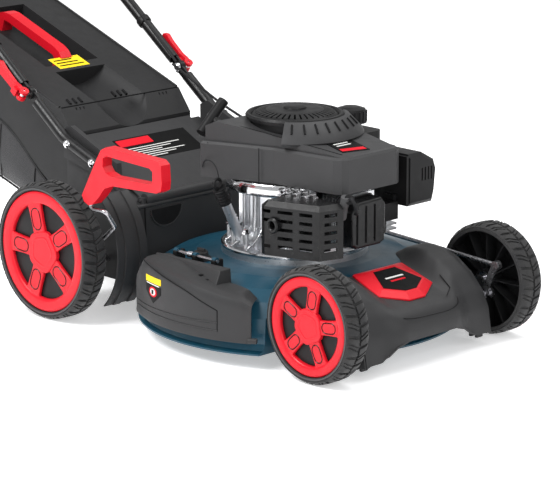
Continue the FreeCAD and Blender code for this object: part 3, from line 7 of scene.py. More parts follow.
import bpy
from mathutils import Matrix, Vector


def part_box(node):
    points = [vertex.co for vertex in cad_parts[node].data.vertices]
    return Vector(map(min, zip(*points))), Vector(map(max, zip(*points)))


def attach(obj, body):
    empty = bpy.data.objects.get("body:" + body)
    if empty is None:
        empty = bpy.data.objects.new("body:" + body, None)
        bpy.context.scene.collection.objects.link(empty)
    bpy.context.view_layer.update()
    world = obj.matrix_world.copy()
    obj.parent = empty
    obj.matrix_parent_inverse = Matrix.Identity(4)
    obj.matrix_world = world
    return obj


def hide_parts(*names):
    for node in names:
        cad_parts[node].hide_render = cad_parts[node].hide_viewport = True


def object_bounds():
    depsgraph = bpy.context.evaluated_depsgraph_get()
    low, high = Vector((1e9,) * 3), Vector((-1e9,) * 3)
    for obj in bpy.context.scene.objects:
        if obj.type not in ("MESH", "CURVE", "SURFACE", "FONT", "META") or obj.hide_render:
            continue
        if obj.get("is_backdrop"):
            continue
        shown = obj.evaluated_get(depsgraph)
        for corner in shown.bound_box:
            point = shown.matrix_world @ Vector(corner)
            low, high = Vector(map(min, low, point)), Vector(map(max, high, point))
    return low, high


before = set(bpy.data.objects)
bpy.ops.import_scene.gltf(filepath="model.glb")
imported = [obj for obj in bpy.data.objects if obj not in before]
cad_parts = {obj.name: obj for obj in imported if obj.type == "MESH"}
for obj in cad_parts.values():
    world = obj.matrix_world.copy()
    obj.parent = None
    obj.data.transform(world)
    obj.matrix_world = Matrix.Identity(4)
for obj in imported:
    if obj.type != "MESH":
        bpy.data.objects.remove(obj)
import math

import bmesh
import bpy
from bpy.props import FloatProperty, FloatVectorProperty, IntProperty, PointerProperty
from mathutils import Vector

bl_info = {
    "name": "Push mower looks",
    "version": (1, 0, 0),
    "blender": (4, 5, 0),
    "location": "3D Viewport > Sidebar > Mower",
    "description": "Builds the visible surfaces of a petrol push mower on its CAD frame",
    "category": "Object",
}

SIDES = (("right", -1), ("left", 1))
X_AXIS, Y_AXIS, Z_AXIS = Vector((1, 0, 0)), Vector((0, 1, 0)), Vector((0, 0, 1))
CRANK = sum(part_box("flywheel"), Vector()) / 2  # the crankshaft's place, in metres
# Each pair of wheels: radius, axle's place, inner face from the middle, and turn of the spokes in degrees.
SHAPE = {"front": {"radius": 101.5, "x": 265.0, "inner": 196.0, "spin": 8.0},
         "rear": {"radius": 127.0, "x": -365.0, "inner": 250.0, "spin": 33.0}}
WIDTH = 52.5  # tyre
CROWN = 2.6  # fall of the tread from its middle to its edges
REAR_LUGS = 1.2  # rows of blocks on a rear tyre for one on a front tyre
TILT = math.radians(36.5)  # handle
ALONG = Vector((-math.cos(TILT), 0, math.sin(TILT)))
ACROSS = Vector((math.sin(TILT), 0, math.cos(TILT)))
PIVOT = Vector((-522, 0, 313 + 97 * math.tan(TILT)))  # the handle's folding joint
SLOPE = math.atan(0.356)  # top of the bag's hood
HOOD = Vector((-482, 0, 354))  # front edge of the hood
CASE = Vector((-20, 0, 0))  # middle of the crankcase
GRIP_R = 14.5  # foam on the cross bar


# ---- settings ----
class MowerPaint(bpy.types.PropertyGroup):
    deck: FloatVectorProperty(name="Deck", subtype="COLOR", default=(0.0055, 0.050, 0.083))
    red: FloatVectorProperty(name="Red plastic", subtype="COLOR", default=(0.60, 0.0065, 0.017))
    dark: FloatVectorProperty(name="Dark plastic", subtype="COLOR", default=(0.031, 0.031, 0.032))
    grey: FloatVectorProperty(name="Grey plastic", subtype="COLOR", default=(0.068, 0.068, 0.070))
    black: FloatVectorProperty(name="Black plastic", subtype="COLOR", default=(0.0085, 0.0085, 0.009))


class MowerSizes(bpy.types.PropertyGroup):
    bevel: FloatProperty(name="Edge rounding, mm", default=1.2, min=0.2, max=4.0)
    tread: FloatProperty(name="Tread depth, mm", default=3.6, min=0.5, max=4.0)
    lugs: IntProperty(name="Tread lugs", default=17, min=8, max=40)
    wire: FloatProperty(name="Plug wire radius, mm", default=3.2, min=1.0, max=5.0)


class MowerStage(bpy.types.PropertyGroup):
    azimuth: FloatProperty(name="Camera azimuth", default=45.39)
    elevation: FloatProperty(name="Camera elevation", default=14.44)
    distance: FloatProperty(name="Camera distance, m", default=5.0, min=1.0)
    lens: FloatProperty(name="Lens, mm", default=176.7, min=20.0)
    key: FloatProperty(name="Key light, W", default=120.0, min=0.0)
    fill: FloatProperty(name="Fill light, W", default=48.0, min=0.0)
    sky: FloatProperty(name="Sky strength", default=0.50, min=0.0)


# ---- places ----
def at(x, y, z):
    """A point in millimetres about the crankshaft, in the row frame."""
    return Vector((CRANK.x + x / 1000, y / 1000, z / 1000))


def spot(v):
    """The same for a vector."""
    return at(v.x, v.y, v.z)


def hood_point(u, y, w):
    """A point on the sloping bag hood: u up the slope from its front edge, w off its surface."""
    return Vector((HOOD.x - u * math.cos(SLOPE) + w * math.sin(SLOPE), y,
                   HOOD.z + u * math.sin(SLOPE) + w * math.cos(SLOPE)))


def handle_point(distance, y, off=0.0):
    """A point up the handle from its folding joint, off the tube's middle."""
    return PIVOT + ALONG * distance + ACROSS * off + Vector((0, y, 0))


# ---- materials ----
MATERIALS = {}
# The material slot meant for a piece of each look; piece() looks it up but gives it to nothing. Labels have
# none.
SLOTS = {"dark": "dark_plastic", "hood": "dark_plastic", "shroud": "dark_plastic", "grey": "grey_plastic",
         "black": "black_plastic", "groove": "black_plastic", "red": "red_plastic", "red_groove_painted_shade": "red_plastic",
         "paint": "black_paint", "cast": "cast_aluminium", "polished": "machined_aluminium",
         "chrome": "bright_plating", "rubber": "rubber", "foam": "rubber", "tyre": "tyre", "cloth": "bag_cloth"}


class Nodes:
    """A small builder for one material's node tree."""

    def __init__(self, name):
        self.material = bpy.data.materials.new(name)
        self.material.use_nodes = True
        self.tree = self.material.node_tree
        self.shader = self.tree.nodes["Principled BSDF"]
        self.coords = self.add("ShaderNodeTexCoord").outputs["Object"]

    def add(self, kind, **values):
        node = self.tree.nodes.new(kind)
        for key, value in values.items():
            setattr(node, key, value)
        return node

    def link(self, source, target):
        self.tree.links.new(source, target)

    def set(self, **values):
        names = {"color": "Base Color", "rough": "Roughness", "metal": "Metallic", "coat": "Coat Weight",
                 "coat_rough": "Coat Roughness", "sheen": "Sheen Weight", "specular": "Specular IOR Level",
                 "ior": "IOR"}
        for key, value in values.items():
            self.shader.inputs[names[key]].default_value = (*value, 1) if key == "color" else value
        return self

    def noise(self, scale, detail=4.0, stretch=(1, 1, 1), rough=0.55):
        mapping = self.add("ShaderNodeMapping")
        mapping.inputs["Scale"].default_value = stretch
        self.link(self.coords, mapping.inputs["Vector"])
        node = self.add("ShaderNodeTexNoise")
        node.inputs["Scale"].default_value = scale
        node.inputs["Detail"].default_value = detail
        node.inputs["Roughness"].default_value = rough
        self.link(mapping.outputs["Vector"], node.inputs["Vector"])
        return node.outputs["Fac"]

    def ramp(self, source, stops):
        node = self.add("ShaderNodeValToRGB")
        elements = node.color_ramp.elements
        while len(elements) < len(stops):
            elements.new(0.5)
        for element, (place, shade) in zip(elements, stops):
            element.position = place
            element.color = (*shade, 1) if hasattr(shade, "__len__") else (shade, shade, shade, 1)
        self.link(source, node.inputs["Fac"])
        return node.outputs["Color"]

    def mix(self, share, first, second):
        node = self.add("ShaderNodeMix", data_type="RGBA")
        self.link(share, node.inputs[0])
        for value, socket in ((first, node.inputs[6]), (second, node.inputs[7])):
            if hasattr(value, "links"):
                self.link(value, socket)
            else:
                socket.default_value = (*value, 1)
        return node.outputs[2]

    def to_color(self, source):
        self.link(source, self.shader.inputs["Base Color"])

    def to_rough(self, source):
        self.link(source, self.shader.inputs["Roughness"])

    def bump(self, source, distance, strength=1.0, under=None):
        node = self.add("ShaderNodeBump")
        node.inputs["Distance"].default_value = distance
        node.inputs["Strength"].default_value = strength
        self.link(source, node.inputs["Height"])
        if under:
            self.link(under, node.inputs["Normal"])
        self.link(node.outputs["Normal"], self.shader.inputs["Normal"])
        return node.outputs["Normal"]


def shade(color, factor):
    return tuple(min(1.0, c * factor) for c in color)


def plastic(name, color, rough, grain=900.0, depth=0.00012, dust=0.10):
    """Moulded plastic: fine grain, slightly uneven gloss, faint dust in random paler patches."""
    m = Nodes(name).set(color=color, specular=0.22, ior=1.45)
    broad = m.noise(9, 3)
    m.to_color(m.mix(m.ramp(broad, [(0.45, 0.0), (0.75, dust * 3)]), color, shade(color, 1.35)))
    m.to_rough(m.ramp(m.noise(40, 5), [(0.3, rough - 0.07), (0.7, rough + 0.08)]))
    m.bump(m.noise(grain, 2), depth, 0.5)
    return m.material


def gloss_red(name, color):
    m = Nodes(name).set(color=color, coat=0.06, coat_rough=0.18, specular=0.26, ior=1.46)
    broad = m.noise(7, 3)
    m.to_color(m.mix(m.ramp(broad, [(0.4, 0.0), (0.7, 0.5)]), color, shade(color, 0.80)))
    m.to_rough(m.ramp(m.noise(60, 4), [(0.3, 0.30), (0.7, 0.42)]))
    m.bump(m.noise(320, 2), 0.00005, 0.35)
    return m.material


def deck_paint(name, color):
    """Sprayed enamel with orange peel, paler and greyer in noise patches towards its lowest edge."""
    m = Nodes(name).set(color=color, coat=0.12, coat_rough=0.22, specular=0.32)
    split = m.add("ShaderNodeSeparateXYZ")
    m.link(m.coords, split.inputs[0])
    height = m.ramp(split.outputs["Z"], [(0.02, 1.0), (0.12, 0.0)])
    # Mixes towards a paler grey-teal (0.05, 0.085, 0.09) in noise patches, strongest at the bottom and gone by
    # about 0.12 m up.
    low_pale_share = m.add("ShaderNodeMath", operation="MULTIPLY")
    m.link(height, low_pale_share.inputs[0])
    m.link(m.ramp(m.noise(22, 6), [(0.45, 0.0), (0.8, 0.5)]), low_pale_share.inputs[1])
    m.to_color(m.mix(low_pale_share.outputs[0], color, (0.05, 0.085, 0.09)))
    m.to_rough(m.ramp(m.noise(30, 5), [(0.3, 0.30), (0.7, 0.40)]))
    m.bump(m.noise(260, 3), 0.00006, 0.5)
    return m.material


def metal(name, color, rough, stretch=(1, 1, 1), scale=120.0, depth=0.00008, metallic=1.0):
    m = Nodes(name).set(color=color, metal=metallic, rough=rough, specular=0.5 if metallic else 0.28)
    lines = m.noise(scale, 6, stretch)
    m.to_color(m.mix(lines, shade(color, 0.86), shade(color, 1.08)))
    m.to_rough(m.ramp(lines, [(0.3, max(0.03, rough - 0.10)), (0.7, rough + 0.10)]))
    m.bump(lines, depth, 0.4)
    return m.material


def tyre_rubber(name):
    color = (0.013, 0.013, 0.014)
    m = Nodes(name).set(color=color, sheen=0.12, specular=0.32)
    m.to_color(m.mix(m.ramp(m.noise(30, 6), [(0.4, 0.0), (0.75, 0.6)]), color, (0.034, 0.033, 0.031)))
    m.to_rough(m.ramp(m.noise(80, 4), [(0.3, 0.62), (0.7, 0.82)]))
    m.bump(m.noise(700, 3), 0.00025, 0.5)
    return m.material


def cloth(name):
    """Coarse woven polyester."""
    color = (0.020, 0.020, 0.022)
    m = Nodes(name).set(color=color, sheen=0.25, specular=0.25, rough=0.82)
    waves = []
    for direction in ("X", "Z"):
        wave = m.add("ShaderNodeTexWave", bands_direction=direction)
        wave.inputs["Scale"].default_value = 260
        wave.inputs["Distortion"].default_value = 0.6
        m.link(m.coords, wave.inputs["Vector"])
        waves.append(wave.outputs["Fac"])
    weave = m.add("ShaderNodeMath", operation="MULTIPLY")
    m.link(waves[0], weave.inputs[0])
    m.link(waves[1], weave.inputs[1])
    m.to_color(m.mix(weave.outputs[0], shade(color, 0.75), shade(color, 1.7)))
    under = m.bump(m.noise(14, 4), 0.004, 0.45)
    m.bump(weave.outputs[0], 0.0005, 0.7, under)
    return m.material


def foam(name):
    m = Nodes(name).set(color=(0.012, 0.012, 0.013), rough=0.9, sheen=0.3)
    cells = m.add("ShaderNodeTexVoronoi")
    cells.inputs["Scale"].default_value = 900
    m.link(m.coords, cells.inputs["Vector"])
    m.to_color(m.mix(cells.outputs["Distance"], (0.008, 0.008, 0.009), (0.024, 0.024, 0.026)))
    m.bump(cells.outputs["Distance"], 0.0006, 0.8)
    return m.material


def sticker(name, color):
    m = Nodes(name).set(color=color, coat=0.02, coat_rough=0.3, rough=0.42, specular=0.08)
    m.to_color(m.mix(m.noise(160, 3), shade(color, 0.92), shade(color, 1.05)))
    m.to_rough(m.ramp(m.noise(55, 3), [(0.3, 0.36), (0.7, 0.50)]))
    return m.material


def make_materials(paint):
    MATERIALS.update({
        "deck": deck_paint("deck_paint", tuple(paint.deck)),
        "dark": plastic("dark_plastic", tuple(paint.dark), 0.44),
        "grey": plastic("grey_plastic", tuple(paint.grey), 0.50),
        "black": plastic("black_plastic", tuple(paint.black), 0.42),
        # The hood's plastic is the dark plastic darkened: painted shade on the hood.
        "hood": plastic("hood_plastic_painted_shade", shade(tuple(paint.dark), 0.62), 0.40),
        "red": gloss_red("red_plastic", tuple(paint.red)),
        # Near-black groove material: painted shade in seams, slits, slots, holes, creases and recesses.
        "groove": plastic("groove_painted_shade", (0.004, 0.004, 0.0045), 0.7),
        # Near-black copy of the red plastic: painted shade in the grooves round the spoke pads.
        "red_groove_painted_shade": gloss_red("red_groove_painted_shade", shade(tuple(paint.red), 0.04)),
        # The shroud's plastic is the dark plastic lightened: painted light on the shroud.
        "shroud": plastic("shroud_plastic_painted_light", shade(tuple(paint.dark), 1.30), 0.42, dust=0.05),
        "paint": metal("black_enamel", (0.0075, 0.0075, 0.008), 0.34, metallic=0.0, depth=0.00004),
        "cast": metal("cast_aluminium", (0.76, 0.77, 0.79), 0.36, scale=420, depth=0.0003),
        "polished": metal("polished_aluminium", (0.80, 0.81, 0.83), 0.14, (1, 1, 8)),
        "steel": metal("brushed_steel", (0.42, 0.42, 0.44), 0.30, (1, 12, 1)),
        "chrome": metal("bright_plating", (0.78, 0.78, 0.80), 0.10, depth=0.00002),
        "rubber": plastic("cable_rubber", (0.012, 0.012, 0.013), 0.60),
        "tyre": tyre_rubber("tyre_rubber"),
        "cloth": cloth("bag_cloth"),
        "foam": foam("grip_foam"),
        "yellow": sticker("yellow_label", (0.85, 0.62, 0.02)),
        "label_red": sticker("red_label", (0.62, 0.008, 0.02)),
        "label_black": sticker("black_label", (0.0022, 0.0022, 0.0024)),
        "label_white": sticker("white_label", (0.70, 0.70, 0.68)),
    })


# ---- meshes ----
def piece(name, verts, faces, material, body="chassis", slot=None, smooth=True, bevel=0.0, segments=2,
          angle=35.0):
    """A named mesh from points in the row frame, riding on a body."""
    mesh = bpy.data.meshes.new(name)
    mesh.from_pydata([tuple(v) for v in verts], [], faces)
    mesh.validate()
    tidy = bmesh.new()
    tidy.from_mesh(mesh)
    bmesh.ops.remove_doubles(tidy, verts=tidy.verts, dist=1e-6)
    bmesh.ops.recalc_face_normals(tidy, faces=tidy.faces)
    tidy.to_mesh(mesh)
    tidy.free()
    obj = bpy.data.objects.new(name, mesh)
    bpy.context.scene.collection.objects.link(obj)
    mesh.materials.append(MATERIALS[material])
    finish_edges(obj, bevel, segments, angle, smooth)
    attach(obj, body)
    slot = slot or SLOTS.get(material)
    return obj


def finish_edges(obj, bevel, segments=2, angle=35.0, smooth=True):
    """Rounded sharp edges, smooth faces between them."""
    if smooth:
        obj.data.shade_smooth()
    if bevel:
        m = obj.modifiers.new("round", "BEVEL")
        m.width = bevel / 1000
        m.segments = segments
        m.limit_method = "ANGLE"
        m.angle_limit = math.radians(angle)
        m.use_clamp_overlap = True
        m.harden_normals = True
    elif smooth:
        obj.data.set_sharp_from_angle(angle=math.radians(angle))


def grid_faces(rows, columns, close_rows=False, close_columns=False):
    faces = []
    for i in range(rows if close_rows else rows - 1):
        for j in range(columns if close_columns else columns - 1):
            a, b = i * columns + j, i * columns + (j + 1) % columns
            c, d = ((i + 1) % rows) * columns + (j + 1) % columns, ((i + 1) % rows) * columns + j
            faces.append((a, b, c, d))
    return faces


def shell_faces(rows, columns, first=0):
    """Faces of a grid of points and of its copy behind it, joined round the edge. first is added to each."""
    layer = rows * columns
    top = grid_faces(rows, columns)
    ring = list(range(columns)) + [i * columns + columns - 1 for i in range(1, rows)]
    ring += [layer - 1 - j for j in range(1, columns)] + [i * columns for i in range(rows - 2, 0, -1)]
    faces = top + [tuple(layer + k for k in reversed(f)) for f in top]
    faces += [(a, b, layer + b, layer + a) for a, b in zip(ring, ring[1:] + ring[:1])]
    return [tuple(first + k for k in f) for f in faces]


def prism_faces(count):
    """Faces between two outlines of count points each."""
    sides = [(i, (i + 1) % count, (i + 1) % count + count, i + count) for i in range(count)]
    return [tuple(range(count)), tuple(range(count, 2 * count))] + sides


def basis(axis):
    """Two directions square to axis, and axis."""
    axis = axis.normalized()
    side = X_AXIS if abs(axis.x) < 0.9 else Y_AXIS
    u = (side - axis * side.dot(axis)).normalized()
    return u, axis.cross(u), axis


def lathe(name, profile, centre, axis, material, body="chassis", steps=96, angle=35.0, start=0.0, turn=360.0,
          closed=True):
    """(radius, height) outline turned about an axis. The outline is closed on itself when closed is set."""
    u, v, w = basis(axis)
    whole = abs(turn - 360) < 1e-6
    count = steps if whole else steps + 1
    verts = []
    for i in range(count):
        a = math.radians(start + turn * i / steps)
        for r, h in profile:
            verts.append(spot(centre + (u * math.cos(a) + v * math.sin(a)) * r + w * h))
    faces = grid_faces(count, len(profile), whole, closed)
    if not whole and closed:
        faces += [tuple(range(len(profile))), tuple(range((count - 1) * len(profile), count * len(profile)))]
    return piece(name, verts, faces, material, body, angle=angle)


def slab(name, outline, origin, u, v, thick, material, body="chassis", slot=None, bevel=0.6, segments=2):
    """Closed (a, b) outline in the plane of u and v through origin, thickened along u x v."""
    w = u.cross(v).normalized()
    points = [origin + u * a + v * b for a, b in outline]
    verts = [spot(p) for p in points] + [spot(p + w * thick) for p in points]
    return piece(name, verts, prism_faces(len(points)), material, body, slot, bevel=bevel, segments=segments)


def rectangle(first, last, left, right):
    """Outline of a rectangle."""
    return [(first, left), (last, left), (last, right), (first, right)]


def block(name, x, y, z, material, body="chassis", bevel=0.8):
    """Box between limits."""
    return slab(name, rectangle(*x, *y), Z_AXIS * z[0], X_AXIS, Y_AXIS, z[1] - z[0], material, body,
                bevel=bevel)


def hose(name, points, radius, material, body="chassis", sides=12, smooth=8):
    """Round bar along a smooth curve through points."""
    points = [Vector(p) for p in points]
    line = []
    ends = [points[0] * 2 - points[1], *points, points[-1] * 2 - points[-2]]
    for a, b, c, d in zip(ends, ends[1:], ends[2:], ends[3:]):
        for i in range(smooth):
            t = i / smooth
            line.append(((b * 2) + (c - a) * t + (a * 2 - b * 5 + c * 4 - d) * t * t
                         + (b * 3 - a - c * 3 + d) * t ** 3) / 2)
    line.append(points[-1])
    way = (line[1] - line[0]).normalized()
    u, v, _ = basis(way)
    verts = []
    for i, p in enumerate(line):
        new = (line[min(i + 1, len(line) - 1)] - line[max(i - 1, 0)]).normalized()
        turn = way.rotation_difference(new)
        u, v, way = turn @ u, turn @ v, new
        for k in range(sides):
            a = 2 * math.pi * k / sides
            verts.append(spot(p + (u * math.cos(a) + v * math.sin(a)) * radius))
    faces = grid_faces(len(line), sides, False, True)
    faces += [tuple(range(sides)), tuple(range(len(verts) - sides, len(verts)))]
    return piece(name, verts, faces, material, body, angle=60)


def groove(name, points, radius=0.8):
    """Near-black line on a surface: painted shade in a seam or groove."""
    return hose(name, points, radius, "groove", "chassis", 6, 4)


# ---- CAD nodes ----
LOOK = {
    "deck": ["deck_shell"],
    "dark": ["front_cover", "rear_housing", "handle_brackets", "rear_flap", "side_flap"],
    # The hood takes a darkened copy of the dark plastic: painted shade.
    "hood": ["bag_hood"],
    # The shroud takes a lightened copy of the dark plastic: painted light.
    "shroud": ["fan_shroud"],
    "black": ["carburettor", "recoil_cover", "fuel_tank", "fuel_cap", "dipstick",
              "air_filter_cover", "starter_grip", "front_right_wheel", "front_left_wheel", "rear_right_wheel",
              "rear_left_wheel"],
    "red": ["front_badge", "bag_handle", "cam_lever_right", "cam_lever_left", "height_grip",
            "front_right_cover", "front_left_cover", "rear_right_cover", "rear_left_cover"],
    "paint": ["muffler", "lower_handle", "upper_handle", "bail", "rocker_cover", "muffler_guard",
              "bag_frame"],
    "cast": ["engine_base", "crankcase", "cylinder_head", "flywheel"],
    "polished": ["piston"],
    "steel": ["hinge_pins", "crankshaft", "blade", "blade_adapter", "front_axle", "rear_axle",
              "link_rod", "front_bearings", "rear_bearings"],
    "chrome": ["fasteners", "pivot_bolts"],
    "rubber": ["spark_plug", "brake_cable_lower", "brake_cable_upper"],
    "cloth": ["bag_body"],
    "tyre": ["front_right_tyre", "front_left_tyre", "rear_right_tyre", "rear_left_tyre"],
}
SOFT_EDGES = {"front_cover": 6.0, "front_badge": 1.6, "rear_housing": 4.0, "side_flap": 1.2, "bag_hood": 7.0,
              "fan_shroud": 2.5, "air_filter_cover": 3.0, "muffler_guard": 0.8, "height_grip": 4.0,
              "bag_handle": 4.0, "bag_body": 2.0, "deck_shell": 1.0, "rear_flap": 2.0, "handle_brackets": 3.0}


def dress_nodes(sizes):
    """Materials and rounded edges on the CAD nodes."""
    for look, names in LOOK.items():
        for name in names:
            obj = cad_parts[name]
            obj.data.materials.clear()
            obj.data.materials.append(MATERIALS[look])
            finish_edges(obj, SOFT_EDGES.get(name, sizes.bevel if look != "chrome" else 0.4), 3, 28)


# ---- wheels ----
EDGE = WIDTH / 2
# Corners of the blocks in one row: share of the row, and distance from the tread's middle line.
LUGS = (((0.02, 2.4), (0.24, 2.4), (0.58, EDGE), (0.16, EDGE)),
        ((0.34, 2.4), (0.44, 2.4), (0.78, EDGE), (0.68, EDGE)),
        ((0.54, 2.4), (0.92, 2.4), (1.06, EDGE), (0.88, EDGE)))


def tread_point(middle, turn, y, radius, low):
    """A place on the rounded tread, y across from its middle."""
    r = radius - CROWN * (abs(y) * 2 / WIDTH) ** 4 - low
    a = 2 * math.pi * turn
    return spot(middle + Vector((math.cos(a) * r, y, math.sin(a) * r)))


def add_lug(verts, faces, corners, middle, radius, depth):
    """One raised block between four (turn, y) corners, curved with the tread."""
    columns, rows = 5, 4
    first = len(verts)
    for low in (0.0, depth + 0.6):
        for j in range(rows):
            v = j / (rows - 1)
            for i in range(columns):
                u = i / (columns - 1)
                turn, y = ((a * (1 - u) + b * u) * (1 - v) + (d * (1 - u) + c * u) * v
                           for a, b, c, d in zip(*corners))
                shoulder = 3.6 if low == 0.0 and abs(y) > WIDTH / 2 - 1.2 else 0.0
                verts.append(tread_point(middle, turn, y, radius, low + shoulder))
    faces += shell_faces(rows, columns, first)


def make_tyre(end, label, side, sizes):
    """Tyre body with blocks standing on it: a broad block and two slanted bars, in turn on each half."""
    info = SHAPE[end]
    radius = info["radius"]
    body = f"{end}_{label}_wheel"
    half = WIDTH / 2
    middle = Vector((info["x"], side * (info["inner"] + half), radius))
    wall = [(radius - 13.5, -half + 1.0), (radius - 10.5, -half + 0.3), (radius - 8.6, -half + 1.4),
            (radius - 6.4, -half + 0.4), (radius - 5.0, -half + 1.6)]
    crown = [(radius - sizes.tread - CROWN * (abs(y) / half) ** 4, y) for y in (-23, -16, -8, 0, 8, 16, 23)]
    profile = wall + crown + [(r, -y) for r, y in reversed(wall)]
    tyre = lathe(f"{end}_{label}_tyre_body", profile, middle, Y_AXIS, "tyre", body, steps=160)
    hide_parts(f"{end}_{label}_tyre")
    lugs = sizes.lugs if end == "front" else round(sizes.lugs * REAR_LUGS)
    verts, faces = [], []
    for number in range(lugs):
        for half_side in (-1, 1):
            shift = 0.5 if half_side > 0 else 0.0
            for shape in LUGS:
                corners = [((number + shift + t * 0.93) / lugs, half_side * y) for t, y in shape]
                add_lug(verts, faces, corners, middle, radius, sizes.tread)
    piece(f"{end}_{label}_lugs", verts, faces, "tyre", body, bevel=0.5, segments=2, angle=50)
    band = [(radius - 12.4, half - 1.6), (radius - 12.0, half - 0.1), (radius - 9.6, half - 0.1),
            (radius - 9.2, half - 1.6)]
    lathe(f"{end}_{label}_sidewall_ring", band, middle, Vector((0, side, 0)), "grey", body,
          steps=128)


def smooth_pentagon(radius, steps=12):
    """Outline of a rounded five-sided cap."""
    points = []
    for i in range(5 * steps):
        a = 2 * math.pi * i / (5 * steps)
        r = radius * (1 + 0.055 * math.cos(5 * a))
        points.append((r * math.cos(a), r * math.sin(a)))
    return points


def stadium(length, width, steps=7):
    """Outline of a bar with round ends."""
    points = []
    for sign, first in ((1, -90), (-1, 90)):
        for i in range(steps + 1):
            a = math.radians(first + 180 * i / steps)
            points.append((sign * (length - width) / 2 + width / 2 * math.cos(a), width / 2 * math.sin(a)))
    return points


def turned(u, v, degrees):
    """Two square directions, turned within their plane."""
    a = math.radians(degrees)
    return u * math.cos(a) + v * math.sin(a), v * math.cos(a) - u * math.sin(a)


def raised_rim(name, outer, inner, origin, u, v, height, material, body="chassis"):
    """A closed band between two outlines of equal length, standing off a surface."""
    w = u.cross(v).normalized()
    count = len(outer)
    middle = [((a + c) / 2, (b + d) / 2) for (a, b), (c, d) in zip(outer, inner)]
    rows = [(outer, 0.0), (middle, height), (inner, 0.0)]
    verts = [spot(origin + u * a + v * b + w * h) for points, h in rows for a, b in points]
    return piece(name, verts, grid_faces(3, count, False, True), material, body, angle=80)


def make_cover(end, label, side):
    """Red wheel cover: rounded ring, five spokes with stadium pads outlined by raised near-black rims of
    painted groove shade, five-sided cap.
    """
    info = SHAPE[end]
    radius = info["radius"]
    body = f"{end}_{label}_wheel"
    axis = Vector((0, side, 0))
    centre = Vector((info["x"], side * info["inner"], radius))
    out = radius - 14.4
    inn = out * 0.79
    face = WIDTH - 2.5
    spoke_face = face - 2.0
    low = WIDTH - 12
    ring = [(inn, low), (inn - 0.6, face - 5), (inn + 0.6, face - 2.0), (inn + 3, face - 0.6),
            (inn + 6, face), (out - 5, face + 0.6), (out - 1.8, face), (out - 0.2, face - 2.2), (out, low)]
    cover = lathe(f"{end}_{label}_cover_ring", ring, centre, axis, "red", body, steps=160, angle=50)
    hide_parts(f"{end}_{label}_cover")
    down = Z_AXIS * -side
    root, tip, half = radius * 0.16, inn + 3, radius * 0.135
    flank = [(root, half * 0.95), (tip * 0.6, half * 0.92), (tip - 8, half * 1.02), (tip, half * 1.35)]
    web = [(a, -b) for a, b in flank] + flank[::-1]
    for number in range(5):
        u, v = turned(X_AXIS, down, info["spin"] + 72 * number)
        slab(f"{end}_{label}_spoke_{number}", web, centre + axis * low, u, v, spoke_face - low, "red", body,
             bevel=2.0, segments=3)
        outer = stadium(radius * 0.335, half * 1.5)
        inner = stadium(radius * 0.335 - 4.6, half * 1.5 - 4.6)
        # The pad outlines are near-black raised rims: painted shade standing in for the recessed grooves round
        # the pads.
        raised_rim(f"{end}_{label}_pad_{number}", outer, inner,
                   centre + axis * spoke_face + u * (radius * 0.475), u, v, 1.3, "red_groove_painted_shade", body)
    cap = smooth_pentagon(radius * 0.30)
    u, v = turned(X_AXIS, down, info["spin"] + 36)
    slab(f"{end}_{label}_hub_cap", cap, centre + axis * low, u, v, face - low, "red", body, bevel=2.2,
         segments=3)
    outer, inner = ([(a * share, b * share) for a, b in cap] for share in (0.74, 0.62))
    raised_rim(f"{end}_{label}_hub_rim", outer, inner, centre + axis * (face - 0.05), u, v, 1.0, "red", body)


# ---- curved panels ----
def panel(name, rows, thick, inside, material, body="chassis", angle=40):
    """Curved sheet through rows of points, thickened towards the point inside."""
    count, width = len(rows), len(rows[0])
    outer, inner = [], []
    for i, row in enumerate(rows):
        for j, p in enumerate(row):
            along = rows[min(i + 1, count - 1)][j] - rows[max(i - 1, 0)][j]
            across = row[min(j + 1, width - 1)] - row[max(j - 1, 0)]
            normal = along.cross(across)
            normal = normal.normalized() if normal.length > 1e-9 else Vector((0, 0, 1))
            if normal.dot(inside - p) < 0:
                normal = -normal
            outer.append(spot(p))
            inner.append(spot(p + normal * thick))
    return piece(name, outer + inner, shell_faces(count, width), material, body, angle=angle)


def resample(points, count):
    """Evenly spaced points along a line of (a, b) points."""
    lengths = [0.0]
    for (a, b), (c, d) in zip(points, points[1:]):
        lengths.append(lengths[-1] + math.hypot(c - a, d - b))
    result, k = [], 0
    for i in range(count):
        target = lengths[-1] * i / (count - 1)
        while k < len(points) - 2 and lengths[k + 1] < target:
            k += 1
        share = (target - lengths[k]) / (lengths[k + 1] - lengths[k])
        (a, b), (c, d) = points[k], points[k + 1]
        result.append((a + (c - a) * share, b + (d - b) * share))
    return result


def table(points, x):
    """Straight-line value between (x, value) pairs."""
    for (a, p), (b, q) in zip(points, points[1:]):
        if x <= b:
            return p + (q - p) * max(0.0, x - a) / (b - a)
    return points[-1][1]


def ease(x):
    """Smooth step from 0 to 1."""
    x = max(0.0, min(1.0, x))
    return x * x * (3 - 2 * x)


# ---- side flap ----
FLAP_R = 301.0  # outer face of the flap's wall
FLAP_FIRST, FLAP_LAST = -120, -61  # its ends, in degrees
# Height of the ridge along the flap.
RIDGE = ((-120, 128), (-113, 159), (-106, 159), (-100, 157), (-86, 146), (-73, 135), (-65, 129), (-61, 118))


def wall_point(turn, radius, z):
    """A place round the deck, turn in degrees."""
    a = math.radians(turn)
    return Vector((radius * math.cos(a), radius * math.sin(a), z))


def wall_patch(name, first, last, low, high, lift, material, steps=14):
    """Thin curved sticker or raised panel on the flap's wall between two angles."""
    rows = []
    for i in range(steps + 1):
        share = i / steps
        turn = first + (last - first) * share
        rows.append([wall_point(turn, FLAP_R + lift, low(share) + (high(share) - low(share)) * k / 3)
                     for k in range(4)])
    return panel(name, rows, 1.2, Vector((0, 0, 80)), material, "side_flap")


